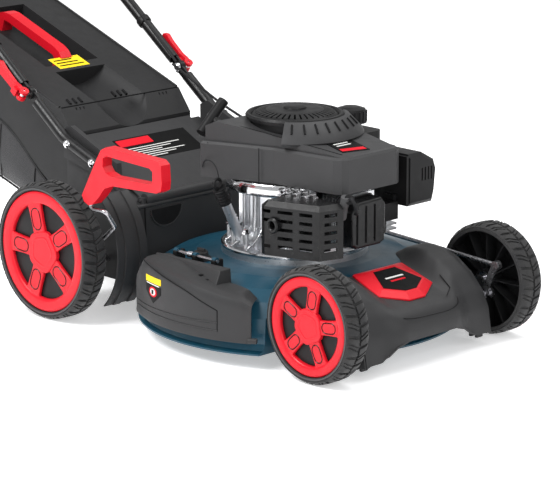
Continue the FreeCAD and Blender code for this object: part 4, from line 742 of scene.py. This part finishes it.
def round_patch(name, first, last, half, lift, material):
    """Round sticker on the flap's wall, half its height each way from its middle."""
    def reach(share):
        return half * math.sqrt(max(0.0, 1 - (2 * share - 1) ** 2))

    middle = 107
    wall_patch(name, first, last, lambda t: middle - reach(t), lambda t: middle + reach(t), lift, material,
               20)


def flap_groove(name, points, radius=0.9, material="groove", sides=6):
    """Line of (turn, z) points along the flap's wall."""
    lift = 0.2 if material == "groove" else 0.4
    hose(name, [wall_point(turn, FLAP_R + lift, z) for turn, z in points], radius, material, "side_flap",
         sides)


def make_side_flap():
    """Flap over the side outlet: curved wall, falling ridge, block at its hinge, seams and ribs."""
    rows = []
    columns = 60
    for i in range(columns + 1):
        turn = FLAP_FIRST + (FLAP_LAST - FLAP_FIRST) * i / columns
        ridge = table(RIDGE, turn)
        edge = max(229.5 / abs(math.sin(math.radians(turn))), 246.0)
        back = min(161.0, ridge + 4)
        profile = [(FLAP_R, 50), (FLAP_R + 0.6, 54), (FLAP_R, 60), (FLAP_R, 90), (FLAP_R - 0.4, ridge - 20),
                   (FLAP_R - 1.5, ridge - 11), (FLAP_R - 5, ridge - 4), (FLAP_R - 11, ridge),
                   (FLAP_R - 20, ridge + 2), ((FLAP_R - 20 + edge) / 2, (ridge + back) / 2 + 2), (edge, back)]
        rows.append([wall_point(turn, r, z) for r, z in profile])
    skin = panel("side_flap_skin", rows, 3.0, Vector((0, 0, 60)), "dark", "side_flap", angle=24)
    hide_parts("side_flap")
    top = [(-112, -246, 164), (64, -232, 164), (63, -256, 163)]
    under = [(-114, -250, 150), (68, -232, 118), (68, -281, 120)]
    piece("side_flap_block", [at(*p) for p in top + under], prism_faces(3), "dark", "side_flap", bevel=1.6,
          segments=3)
    # The holes are near-black blocks: painted shade inside them.
    for number, (x, y, z) in enumerate(((22, -265.5, 147), (40, -266.5, 142))):
        block(f"side_flap_hole_{number}", (x - 3, x + 3), (y - 1.5, y + 5), (z - 4, z + 4), "groove",
              "side_flap", 0.4)
    # Seam and upright are near-black lines: painted shade in the flap's joints.
    flap_groove("side_flap_seam", ((-111, 158), (-108, 154), (-100, 146), (-92, 137), (-85.5, 128),
                                   (-79, 115), (-73, 103)))
    flap_groove("side_flap_upright", [(-73, z) for z in (103, 92, 80, 66)])
    for number, (back, front) in enumerate(((76, 82), (68, 68))):
        rib = [(-117 + 44 * k / 8, back + (front - back) * k / 8) for k in range(9)]
        flap_groove(f"side_flap_rib_{number}", rib, 1.2, "dark", 8)
    foot = [wall_point(t, FLAP_R - 0.5, 56) for t in (-62, -61, -60, -59)]
    hose("side_flap_foot", foot, 5.0, "dark", "side_flap", 10)


def make_warning_sticker():
    """Plain bar, shield and round sign on the side flap, without lettering."""
    wall_patch("side_label_bar", -108.5, -98.5, lambda t: 123, lambda t: 134, 0.5, "yellow")
    wall_patch("side_label_line", -108.0, -99.5, lambda t: 119.6, lambda t: 121.2, 0.5, "label_white")
    wall_patch("side_label_shield", -108.5, -98.5, lambda t: 106 - 20 * (1 - abs(2 * t - 1)), lambda t: 119,
               0.4, "label_black", 16)
    round_patch("side_label_ring", -106.0, -101.0, 9, 0.8, "label_red")
    round_patch("side_label_disc", -105.2, -101.8, 6, 1.1, "label_white")
    wall_patch("side_label_mark", -104.2, -102.9, lambda t: 103, lambda t: 111, 1.4, "label_black", 6)


def make_hinge_base():
    """Hinge block of the side flap, and the wash port on the deck."""
    block("hinge_base_cover", (-90, 20), (-224, -196), (143, 148), "black", bevel=1.5)
    for number, x in enumerate((-88, -39, 10)):
        block(f"hinge_lug_{number}", (x - 0.6, x + 9.2), (-229.5, -206), (148, 168.5), "black", bevel=2.5)
    lathe("wash_port", [(0, 14), (11, 14), (13, 12), (13.5, 3), (17, 2), (17, -4), (0, -4)],
          Vector((-75, -172, 145)), Vector((0, -0.1, 1)), "dark", steps=40, closed=False)
    block("wash_port_bar", (-84, -66), (-175, -169), (158, 164), "dark", bevel=1.5)


# ---- front cover ----
COVER_HALF = 159.5  # half the cover's width
# (x, z) outlines over a wheel and in the middle, and the front's lowest edge by distance from the middle.
FENDER = ((118, 60), (118, 112), (124, 128), (136, 145), (160, 158), (180, 162), (206, 160), (240, 149),
          (272, 128), (300, 99), (314, 70), (322, 24))
SADDLE = ((180, 62), (180, 132), (184, 140), (195, 140), (262, 118), (300, 104), (316, 95), (324, 84),
          (328, 66), (328, 24))
ARCH = ((0, 54), (60, 54), (86, 46), (104, 34), (128, 20), (170, 20))


def make_front_cover():
    """Saddle-shaped cover between the front wheels, with a fender on each side."""
    count, columns = 44, 64
    fender, saddle = resample(FENDER, count), resample(SADDLE, count)
    rows = []
    for i in range(columns + 1):
        y = COVER_HALF * (2 * i / columns - 1)
        share = ease((abs(y) - 62) / 52)
        rounding = 3.5 * ease((abs(y) - 148) / 12)
        row = []
        for (a, b), (c, d) in zip(fender, saddle):
            x, z = c + (a - c) * share, d + (b - d) * share - rounding
            if x > 255:
                z = max(z, table(ARCH, abs(y)))
            row.append(Vector((x, y, z)))
        rows.append(row)
    shell = panel("front_cover_shell", rows, 3.0, Vector((235, 0, 30)), "dark", angle=50)
    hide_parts("front_cover")
    wall = [(x, z - 3) for x, z in FENDER[1:]] + [(284, 20), (262, 44), (240, 60), (118, 60)]
    for label, side in SIDES:
        slab(f"front_cover_wall_{label}", wall, Y_AXIS * (side * (COVER_HALF + 1.5)), X_AXIS, Z_AXIS, 3.0,
             "dark", bevel=1.2)
        for number, x in enumerate((286, 300)):
            block(f"front_tab_{label}_{number}", (x, x + 6), sorted((side * 140, side * 156)), (12, 22),
                  "dark", bevel=1.0)
    # Crease, seam and chevrons are near-black lines: painted shade in the cover's creases and joints.
    crease = [(x, 102 + 4 * math.sin(math.pi * k / 6), z + 0.6)
              for k, x, z in ((2, 236, 143), (3, 256, 131), (4, 276, 116), (5, 292, 103))]
    hose("front_cover_crease", crease, 0.8, "groove", "chassis", 6)
    seam = [(318, -66), (322, -52), (325, -34), (327, -12), (327.5, 12), (326, 40), (322, 62), (316, 76),
            (306, 84)]
    hose("front_cover_seam", [(x + 0.6, y, 89 - abs(y) * 0.06 + (327 - x) * 0.75) for x, y in seam], 0.7,
         "groove", "chassis", 6)
    chevron = [Vector((262, 88, 130)), Vector((290, 84, 113)), Vector((303, 62, 106))]
    for number, (a, b) in enumerate(zip(chevron, chevron[1:])):
        hose(f"front_cover_chevron_{number}", [a, (a + b) / 2, b], 0.9, "groove", "chassis", 6, 3)


def make_badge():
    """Faceted red badge with a dark plate and two plain bars."""
    slope = math.atan2(23, 67)
    u, w = Vector((math.cos(slope), 0, -math.sin(slope))), Vector((math.sin(slope), 0, math.cos(slope)))
    middle = Vector((259, 0, 118))
    rim = [(-72, -58), (-70, -63), (3, -68), (32, -20), (32, 20), (3, 68), (-70, 63), (-72, 58)]
    crest = [(-62, -30), (-60, -34), (-6, -54), (16, -16), (16, 16), (-6, 54), (-60, 34), (-62, 30)]
    points = [middle + u * a + Y_AXIS * b + w * lift
              for outline, lift in ((rim, 0.4), (rim, 3.4), (crest, 9.5)) for a, b in outline]
    faces = grid_faces(3, 8, False, True) + [tuple(range(8)), tuple(range(16, 24))]
    badge = piece("front_badge_facets", [spot(p) for p in points], faces, "red", smooth=False, bevel=0.5)
    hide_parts("front_badge")
    plate = [(-56, -27), (-8, -49), (13, -14), (13, 14), (-8, 49), (-56, 27)]
    slab("front_badge_plate", plate, middle + w * 9.4, u, Y_AXIS, 1.0, "label_black", slot="black_plastic",
         bevel=0.4)
    for number, (a, half, material) in enumerate(((-30, 22, "label_white"), (-20, 18, "label_red"))):
        slab(f"front_badge_bar_{number}", rectangle(a - 2, a + 2, -half, half), middle + w * 10.3, u, Y_AXIS,
             0.5, material, bevel=0.15)


def make_axle_strap():
    """Small dark strap by the front axle's beam."""
    slab("axle_beam_strap", [(190, 96), (232, 96), (232, 92), (190, 92)], Y_AXIS * -70, X_AXIS, Z_AXIS, 12,
         "paint", bevel=0.8)


# ---- engine ----
def top_z(x):
    """Height of the shroud's sloping top."""
    return 348 + (181 - x) * 38 / 265


def top_label(name, corners, low, high, material, bevel):
    """Flat label on the shroud's sloping top."""
    points = [at(x, y, top_z(x) + lift) for lift in (low, high) for x, y in corners]
    piece(name, points, prism_faces(4), material, bevel=bevel)


def make_shroud():
    """Starter's collar, rim and boss, and the seams and labels of the shroud."""
    centre = Vector((-12, 0, 0))
    collar = [(88, 392), (91, 395), (97, 393), (121, 368), (124, 362), (118, 355), (90, 355)]
    # The collar takes the shroud's lightened plastic: painted light.
    lathe("starter_collar", collar, centre, Z_AXIS, "shroud", steps=72, start=-56, turn=118)
    # The slits are near-black bars: painted shade inside the openings.
    for number in range(8):
        a = math.radians(-48 + number * 12)
        slit = [centre + Vector((r * math.cos(a), r * math.sin(a), z)) for r, z in ((99, 392), (106, 385),
                                                                                    (113, 378))]
        hose(f"collar_slit_{number}", slit, 1.7, "groove", "chassis", 8, 3)
    rim = [(79, 392), (82, 396), (86, 396), (89, 392), (87, 386), (80, 386)]
    lathe("starter_rim", rim, centre, Z_AXIS, "black")
    lathe("starter_boss", [(0, 407), (17, 407), (20, 405.5), (21, 403), (0, 403)], centre, Z_AXIS, "black",
          steps=48, closed=False)
    # The seams are near-black lines: painted shade between the shroud's parts.
    groove("shroud_seam_side", [(8, -109.6, z) for z in (349, 330, 305, 287)])
    groove("shroud_seam_rear", [(-92, -138.8, z) for z in (349, 320, 288)], 0.6)
    seam = [(-96, -116, top_z(-70) - 2)]
    seam += [(x, y, top_z(x) + 0.3) for x, y in ((-30, -102), (40, -84), (110, -66), (158, -54))]
    groove("shroud_seam_top", seam)
    top_label("engine_label", [(96, -36), (150, -44), (160, 14), (106, 22)], 0.1, 1.2, "label_black", 0.3)
    top_label("engine_label_strip", [(136, -39), (147, -41), (156, 10), (145, 12)], 1.1, 1.7, "label_red",
              0.2)
    for number, (x, y) in enumerate(((112, -30), (121, -31))):
        block(f"engine_label_bar_{number}", (x, x + 4), (y, y + 34), (top_z(x) + 0.4, top_z(x) + 1.5),
              "label_white", bevel=0.2)


def make_case():
    """Machined rings, bolt posts, webs and ribs round the crankcase and its base."""
    ring = [(110, 262), (116, 262), (118, 265), (118, 281), (116, 284), (110, 284)]
    lathe("case_ring", ring, CASE, Z_AXIS, "polished", steps=120)
    lip = [(126, 154), (131, 154), (133.5, 156), (133.5, 160), (131, 162), (126, 161)]
    lathe("base_lip", lip, CASE + X_AXIS * 8, Z_AXIS, "polished", steps=120)
    bolt = [(0, 9), (4.6, 9), (5.4, 8), (5.4, 3), (8, 3), (8, 0), (0, 0)]
    web = [(84, 158), (124, 158), (124, 163), (100, 176), (84, 196)]
    rib = [(85, 196), (95, 190), (95, 262), (85, 262)]
    for number in range(9):
        a = math.radians(-175 + number * 21)
        out, along = Vector((math.cos(a), math.sin(a), 0)), Vector((-math.sin(a), math.cos(a), 0))
        foot = CASE + out * 112
        hose(f"base_post_{number}", [foot + Z_AXIS * z for z in (156, 168, 180, 190)], 5.2, "cast", "chassis",
             20, 2)
        lathe(f"base_bolt_{number}", bolt, foot + Z_AXIS * 189, Z_AXIS, "chrome", steps=6, closed=False)
        slab(f"base_web_{number}", web, CASE + X_AXIS * 4 + along * 9, out, Z_AXIS, 3.2, "polished",
             bevel=0.8)
        slab(f"case_rib_{number}", rib, CASE + along * 5, out, Z_AXIS, 4.0, "polished", bevel=0.9)


def make_head(sizes):
    """Plug lead and boot, the guard's ring, bolts, and lines on the rocker cover and the carburettor."""
    lead = [(205, -82, 285), (214, -87, 287), (220, -86, 278), (218, -78, 262), (206, -70, 258)]
    hose("plug_lead", lead, sizes.wire, "rubber")
    boot = [(176, -72, 246), (184, -78, 262), (192, -82, 276), (196, -84, 288)]
    hose("plug_boot", boot, 8.0, "grey", "chassis", 20)
    lathe("guard_ring", [(7, 0), (9, 2.2), (12, 2.2), (14, 0), (12, -1), (8, -1)], Vector((104, -171, 236)),
          Vector((0, -1, 0)), "paint", steps=48)
    bolt = [(0, 8), (5, 8), (6, 7), (6, 1), (9, 0), (9, -3), (0, -3)]
    for number, (x, z) in enumerate(((60, 276), (74, 280), (92, 281), (112, 279), (128, 277))):
        lathe(f"head_bolt_{number}", bolt, Vector((x, -104 + number * 3, z)), Vector((0, -0.3, 1)), "chrome",
              steps=6, closed=False)
    # Near-black lines: painted shade in the rocker cover's grooves.
    for number in range(3):
        y = -50 + number * 22
        groove(f"rocker_line_{number}", [(193.2, y, 196), (193.4, y, 225), (193.2, y, 262)], 1.1)
    for number in range(5):
        z = 192 + number * 9
        block(f"carburettor_rib_{number}", (92, 150), (52, 96), (z, z + 4), "cast")


def make_cap():
    """Ribs round the fuel cap, rings on the oil plug and the thin wire beside it."""
    base = Vector((14, 117, 364))
    radius = 28.4
    for number in range(18):
        a = math.radians(number * 20 + 10)
        foot = base + Vector((radius * math.cos(a), radius * math.sin(a), 0))
        hose(f"cap_rib_{number}", [foot + Z_AXIS * z for z in (2, 9, 16, 22)], 1.6, "black", "fuel_cap", 8, 2)
    lathe("cap_top", [(0, 28.4), (16, 28.4), (18, 27.2), (0, 26.5)], base, Z_AXIS, "black", "fuel_cap",
          steps=48, closed=False)
    way = Vector((0, -0.46, 0.888))
    plug = Vector((-50, -100, 175)) + way * 78
    for number in range(5):
        lathe(f"oil_plug_ring_{number}", [(11.5, 0), (12.8, 0.8), (12.8, 3.2), (11.5, 4)],
              plug + way * (4 + 6 * number), way, "black", "dipstick", steps=32)
    bend = [(-50, -152, 293), (-58, -150, 308), (-74, -147, 318), (-92, -146, 316), (-100, -145, 304)]
    hose("brake_wire", bend, 1.02, "rubber", "chassis", 8)


# ---- housing, bag and handle ----
def make_housing():
    """Pocket as a near-black half disc of painted shade with a rim, seam as a near-black line of painted shade,
    and rounded edge of the rear housing.
    """
    face = -250.8
    low = [(38 * math.cos(math.radians(a)), 34 * math.sin(math.radians(a))) for a in range(180, 361, 10)]
    # The pocket is a near-black half disc just proud of the face: painted shade standing in for the recess.
    slab("housing_pocket", low, Vector((face - 0.4, -96, 196)), Y_AXIS, Z_AXIS, 1.2, "groove", bevel=0.5)
    arc = [(face + 0.2, -96 + 38 * math.cos(math.radians(a)), 196 + 34 * math.sin(math.radians(a)))
           for a in range(180, 361, 15)]
    hose("housing_pocket_rim", arc, 1.4, "dark", "chassis", 8, 3)
    groove("housing_seam", [(face, y, z) for y, z in ((-146, 92), (-146, 130), (-147, 170), (-148, 203))],
           1.0)
    hose("housing_edge", [(-253, y, 206) for y in (-166, -80, 0, 80, 166)], 4.2, "dark", "chassis", 14)


def flap_point(u, y, w):
    """A place on the rear flap: u up its slope from the hinge, w off its face."""
    way = Vector((-193, 0, 95)).normalized()
    out = Vector((way.z, 0, -way.x))
    return Vector((-260, 0, 214)) + way * u + out * w + Vector((0, y, 0))


def make_flap_labels():
    """Barrel of the rear flap's hinge and the plain labels on the flap."""
    hose("flap_barrel", [(-260, y, 216) for y in (-141, -70, 0, 70, 141)], 11.0, "dark", "rear_flap", 24)
    way = (flap_point(1, 0, 0) - flap_point(0, 0, 0)).normalized()
    labels = [("flap_label", rectangle(108, 176, -80, 100), 0.4, 1.0, "label_black", 0.3),
              ("flap_label_head", rectangle(152, 172, -76, 6), 1.2, 1.0, "label_red", 0.3)]
    for number in range(6):
        low, end = 112 + number * 6, 10 + 26 * (number % 3)
        labels.append((f"flap_label_line_{number}", rectangle(low, low + 2, -72, end), 1.3, 0.4,
                       "label_white", 0.1))
    for name, outline, lift, thick, material, bevel in labels:
        slab(name, outline, flap_point(0, 0, lift), way, Y_AXIS, thick, material, "rear_flap", bevel=bevel)


def make_hood():
    """Sticker, slots, clips and edges of the bag's hood, and the piping of the bag."""
    way = Vector((-math.cos(SLOPE), 0, math.sin(SLOPE)))
    slab("hood_sticker", rectangle(134, 174, -42, 32), hood_point(0, 0, 0.3), way, Y_AXIS, 0.8, "yellow",
         "grass_bag", bevel=0.2)
    for number in range(3):
        low = 142 + number * 10
        slab(f"hood_sticker_line_{number}", rectangle(low, low + 3, -36, 24 - 8 * number),
             hood_point(0, 0, 1.0), way, Y_AXIS, 0.4, "label_black", "grass_bag", bevel=0.1)
    for label, side in SIDES:
        for number in range(3):
            y = side * (96 + number * 9)
            # The slots are near-black bars: painted shade inside them.
            hose(f"hood_slot_{label}_{number}", [hood_point(u, y, u) for u in (-14, -8, -2)], 2.0, "groove",
                 "grass_bag", 8, 2)
        # The edges take the hood's darkened plastic: painted shade.
        edge = [hood_point(u, side * 148.5, 0.4) for u in (6, 110, 220, 330, 440)]
        hose(f"hood_edge_{label}", edge, 2.4, "hood", "grass_bag", 10)
        pipe = [(x, side * 149.5, z) for x, z in ((-458, 192), (-501, 193), (-546, 221), (-641, 297),
                                                  (-760, 344), (-880, 392))]
        hose(f"bag_piping_{label}", pipe, 2.6, "black", "grass_bag", 10)
    for number, y in enumerate((-118, -104, -90, -6, 8, 22)):
        # The clip marks are near-black lines: painted shade in the clips' slots.
        clip = [hood_point(9, y, 0.2), hood_point(17, y + 2, 0.2), hood_point(26, y + 4, 0.2)]
        hose(f"hood_clip_{number}", clip, 2.6, "groove", "grass_bag", 8, 2)
    # The front seam is a near-black line: painted shade in the joint.
    hose("hood_front_seam", [hood_point(2, y, 0.5) for y in (-146, -70, 0, 70, 146)], 1.3, "groove",
         "grass_bag", 8)


BAG_HALF = 149.0  # half the cloth's width
# (x, z) lines of the cloth's upper and lower edges, from the back.
BAG_TOP = ((-928, 414), (-641, 296), (-546, 221), (-501, 192), (-450, 192))
BAG_LOW = ((-928, 405), (-925, 330), (-904, 262), (-858, 232), (-560, 150), (-450, 149))


def make_bag():
    """Sewn cloth shell of the bag: rounded lower corners, slack between the seams, seams and stitches."""
    rows = []
    columns, around = 72, 48
    for i in range(columns + 1):
        x = -927.5 + 477 * i / columns
        top, low = table(BAG_TOP, x), table(BAG_LOW, x)
        slack = math.sin(math.pi * i / columns)
        row = []
        for k in range(around + 1):
            a = math.pi * k / around
            flat, lift = math.cos(a), math.sin(a)
            y = BAG_HALF * math.copysign(abs(flat) ** 0.25, flat)
            share = min(1.0, abs(lift) ** 0.30 if abs(flat) > 0.02 else 1.0)
            z = top - (top - low) * share
            pull = math.sin(math.pi * share) if abs(y) > 120 else 0.0
            fold = 0.8 * math.sin(x / 46 + z / 60)
            y += math.copysign((5.0 * slack + fold) * pull, y)
            z -= (1 - abs(y) / 150) * slack * 5 if abs(y) < 140 else 0.0
            row.append(Vector((x, y, z)))
        rows.append(row)
    cloth_shell = panel("bag_cloth_shell", rows, 2.0, Vector((-690, 0, 270)), "cloth", "grass_bag")
    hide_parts("bag_body")
    for label, side in SIDES:
        line = [(x, side * 138, table(BAG_LOW, x) + 9) for x in (-452, -560, -700, -858, -900)]
        hose(f"bag_seam_{label}", line, 2.2, "black", "grass_bag", 10)
        for number, x in enumerate((-560, -660, -760)):
            band = [(x, side * (150.5 + 3.0 * math.sin(math.pi * k / 6)),
                     table(BAG_LOW, x) + 14 + (table(BAG_TOP, x) - table(BAG_LOW, x) - 18) * k / 6)
                    for k in range(7)]
            hose(f"bag_stitch_{label}_{number}", band, 1.1, "black", "grass_bag", 8)


def make_cable():
    """The lower brake cable, from the folding joint down to the engine."""
    route = [handle_point(-2, 162, 14)]
    route += [Vector(p) for p in ((-470, 160, 378), (-366, 160, 332), (-240, 156, 300), (-165, 142, 268),
                                  (-112, 112, 262))]
    curve = bpy.data.curves.new("brake_cable_line", "CURVE")
    curve.dimensions = "3D"
    curve.bevel_depth = 0.0025
    curve.bevel_resolution = 6
    curve.use_fill_caps = True
    spline = curve.splines.new("NURBS")
    spline.points.add(len(route) - 1)
    for point, place in zip(spline.points, route):
        point.co = (*spot(place), 1)
    spline.order_u = 3
    spline.use_endpoint_u = True
    spline.resolution_u = 12
    curve.materials.append(MATERIALS["rubber"])
    cable = bpy.data.objects.new("brake_cable_line", curve)
    bpy.context.scene.collection.objects.link(cable)
    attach(cable, "chassis")
    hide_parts("brake_cable_lower")


def make_handle():
    """Foam on the crossbar, cable clips and a collar on the tubes."""
    clip = [(11.2, -7), (13, -7), (13.8, -5), (13.8, 5), (13, 7), (11.2, 7)]
    for label, side in SIDES:
        for number, distance in enumerate((130, 330, 560, 800)):
            lathe(f"tube_clip_{label}_{number}", clip, handle_point(distance, side * 190), ALONG, "black",
                  "upper_handle", steps=32)
    lathe("tube_collar", [(11.2, -16), (15, -16), (17, -12), (17, 12), (15, 16), (11.2, 16)],
          handle_point(232, -190), ALONG, "dark", "upper_handle", steps=36)
    low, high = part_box("upper_handle")
    bar_x, bar_z = (low.x + 0.011 - CRANK.x) * 1000, (high.z - 0.011) * 1000
    hose("foam_grip", [(bar_x, y, bar_z) for y in (-118, -60, 0, 60, 118)], GRIP_R, "foam", "upper_handle",
         28)


# ---- stage ----
LOOK_AT = (-50, 0, 130)
FLOOR = 9.0  # half its side, in metres
FLOOR_GLOW = 0.42


def make_stage(stage):
    """White floor and surroundings, three area lights and the camera."""
    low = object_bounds()[0].z
    floor = bpy.data.meshes.new("floor")
    floor.from_pydata([(x, y, low) for x, y in rectangle(-FLOOR, FLOOR, -FLOOR, FLOOR)], [], [(0, 1, 2, 3)])
    ground = bpy.data.objects.new("floor", floor)
    bpy.context.scene.collection.objects.link(ground)
    m = Nodes("floor_white").set(color=(0.93, 0.93, 0.94), rough=0.7, specular=0.2)
    m.shader.inputs["Emission Color"].default_value = (1, 1, 1, 1)
    m.shader.inputs["Emission Strength"].default_value = FLOOR_GLOW
    m.bump(m.noise(4, 2), 0.0002, 0.1)
    floor.materials.append(m.material)
    ground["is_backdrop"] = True
    world = bpy.data.worlds.new("studio")
    bpy.context.scene.world = world
    world.use_nodes = True
    background = world.node_tree.nodes["Background"]
    background.inputs["Color"].default_value = (1, 1, 1, 1)
    seen = world.node_tree.nodes.new("ShaderNodeLightPath")
    share = world.node_tree.nodes.new("ShaderNodeMix")
    share.inputs[2].default_value = stage.sky
    share.inputs[3].default_value = 1.0
    world.node_tree.links.new(seen.outputs["Is Camera Ray"], share.inputs[0])
    world.node_tree.links.new(share.outputs[0], background.inputs["Strength"])
    middle = at(*LOOK_AT)
    lights = (("key", (-0.6, -2.2, 2.6), 1.6, stage.key), ("fill", (3.2, -1.4, 1.6), 2.0, stage.fill),
              ("top", (0.4, 1.2, 3.0), 2.4, stage.fill))
    for name, place, size, power in lights:
        light = bpy.data.lights.new(name, "AREA")
        light.energy = power
        light.size = size
        lamp = bpy.data.objects.new(name, light)
        lamp.location = middle + Vector(place)
        lamp.rotation_euler = (-Vector(place)).to_track_quat("-Z", "Y").to_euler()
        bpy.context.scene.collection.objects.link(lamp)
    camera = bpy.data.cameras.new("camera")
    camera.lens = stage.lens
    camera.sensor_width = 36
    camera.clip_end = 60
    eye = bpy.data.objects.new("camera", camera)
    a, e = math.radians(stage.azimuth), math.radians(stage.elevation)
    back = Vector((math.sin(a) * math.cos(e), -math.cos(a) * math.cos(e), math.sin(e)))
    eye.location = middle + back * stage.distance
    eye.rotation_euler = (-back).to_track_quat("-Z", "Y").to_euler()
    bpy.context.scene.collection.objects.link(eye)
    bpy.context.scene.camera = eye
    bpy.context.scene.view_settings.view_transform = "Standard"


# ---- operators ----
class MOWER_OT_materials(bpy.types.Operator):
    """Make every material"""
    bl_idname = "mower.materials"
    bl_label = "Materials"

    def execute(self, context):
        make_materials(context.scene.mower_paint)
        return {"FINISHED"}


class MOWER_OT_nodes(bpy.types.Operator):
    """Dress the CAD nodes with materials and rounded edges"""
    bl_idname = "mower.nodes"
    bl_label = "CAD surfaces"

    def execute(self, context):
        dress_nodes(context.scene.mower_sizes)
        return {"FINISHED"}


class MOWER_OT_wheels(bpy.types.Operator):
    """Build the treaded tyres and the red wheel covers"""
    bl_idname = "mower.wheels"
    bl_label = "Wheels"

    def execute(self, context):
        for end in SHAPE:
            for label, side in SIDES:
                make_tyre(end, label, side, context.scene.mower_sizes)
                make_cover(end, label, side)
        return {"FINISHED"}


class MOWER_OT_flap(bpy.types.Operator):
    """Build the side flap with its seams and sticker"""
    bl_idname = "mower.flap"
    bl_label = "Side flap"

    def execute(self, context):
        make_side_flap()
        make_warning_sticker()
        make_hinge_base()
        return {"FINISHED"}


class MOWER_OT_front(bpy.types.Operator):
    """Build the saddle-shaped front cover and its badge"""
    bl_idname = "mower.front"
    bl_label = "Front cover"

    def execute(self, context):
        make_front_cover()
        make_badge()
        make_axle_strap()
        return {"FINISHED"}


class MOWER_OT_engine(bpy.types.Operator):
    """Add the engine's collar, seams, ring, webs, caps and lead"""
    bl_idname = "mower.engine"
    bl_label = "Engine details"

    def execute(self, context):
        make_shroud()
        make_case()
        make_head(context.scene.mower_sizes)
        make_cap()
        return {"FINISHED"}


class MOWER_OT_rear(bpy.types.Operator):
    """Add labels, clips, piping and grips to the housing, bag and handle"""
    bl_idname = "mower.rear"
    bl_label = "Bag and handle details"

    def execute(self, context):
        make_housing()
        make_flap_labels()
        make_hood()
        make_bag()
        make_cable()
        make_handle()
        return {"FINISHED"}


class MOWER_OT_stage(bpy.types.Operator):
    """Floor, lights and camera"""
    bl_idname = "mower.stage"
    bl_label = "Stage"

    def execute(self, context):
        make_stage(context.scene.mower_stage)
        return {"FINISHED"}


class MOWER_PT_panel(bpy.types.Panel):
    bl_label = "Push mower"
    bl_idname = "MOWER_PT_panel"
    bl_space_type = "VIEW_3D"
    bl_region_type = "UI"
    bl_category = "Mower"

    def draw(self, context):
        for group in (context.scene.mower_paint, context.scene.mower_sizes, context.scene.mower_stage):
            column = self.layout.column()
            for name in group.__annotations__:
                column.prop(group, name)
        for operator in OPERATORS:
            self.layout.operator(operator.bl_idname)


OPERATORS = (MOWER_OT_materials, MOWER_OT_nodes, MOWER_OT_wheels, MOWER_OT_flap, MOWER_OT_front,
             MOWER_OT_engine, MOWER_OT_rear, MOWER_OT_stage)
CLASSES = (MowerPaint, MowerSizes, MowerStage, *OPERATORS, MOWER_PT_panel)


def register():
    for cls in CLASSES:
        bpy.utils.register_class(cls)
    bpy.types.Scene.mower_paint = PointerProperty(type=MowerPaint)
    bpy.types.Scene.mower_sizes = PointerProperty(type=MowerSizes)
    bpy.types.Scene.mower_stage = PointerProperty(type=MowerStage)


def unregister():
    del bpy.types.Scene.mower_stage, bpy.types.Scene.mower_sizes, bpy.types.Scene.mower_paint
    for cls in reversed(CLASSES):
        bpy.utils.unregister_class(cls)


def main():
    register()
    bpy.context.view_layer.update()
    for operator in OPERATORS:
        group, name = operator.bl_idname.split(".")
        getattr(getattr(bpy.ops, group), name)()


if __name__ == "__main__":
    main()
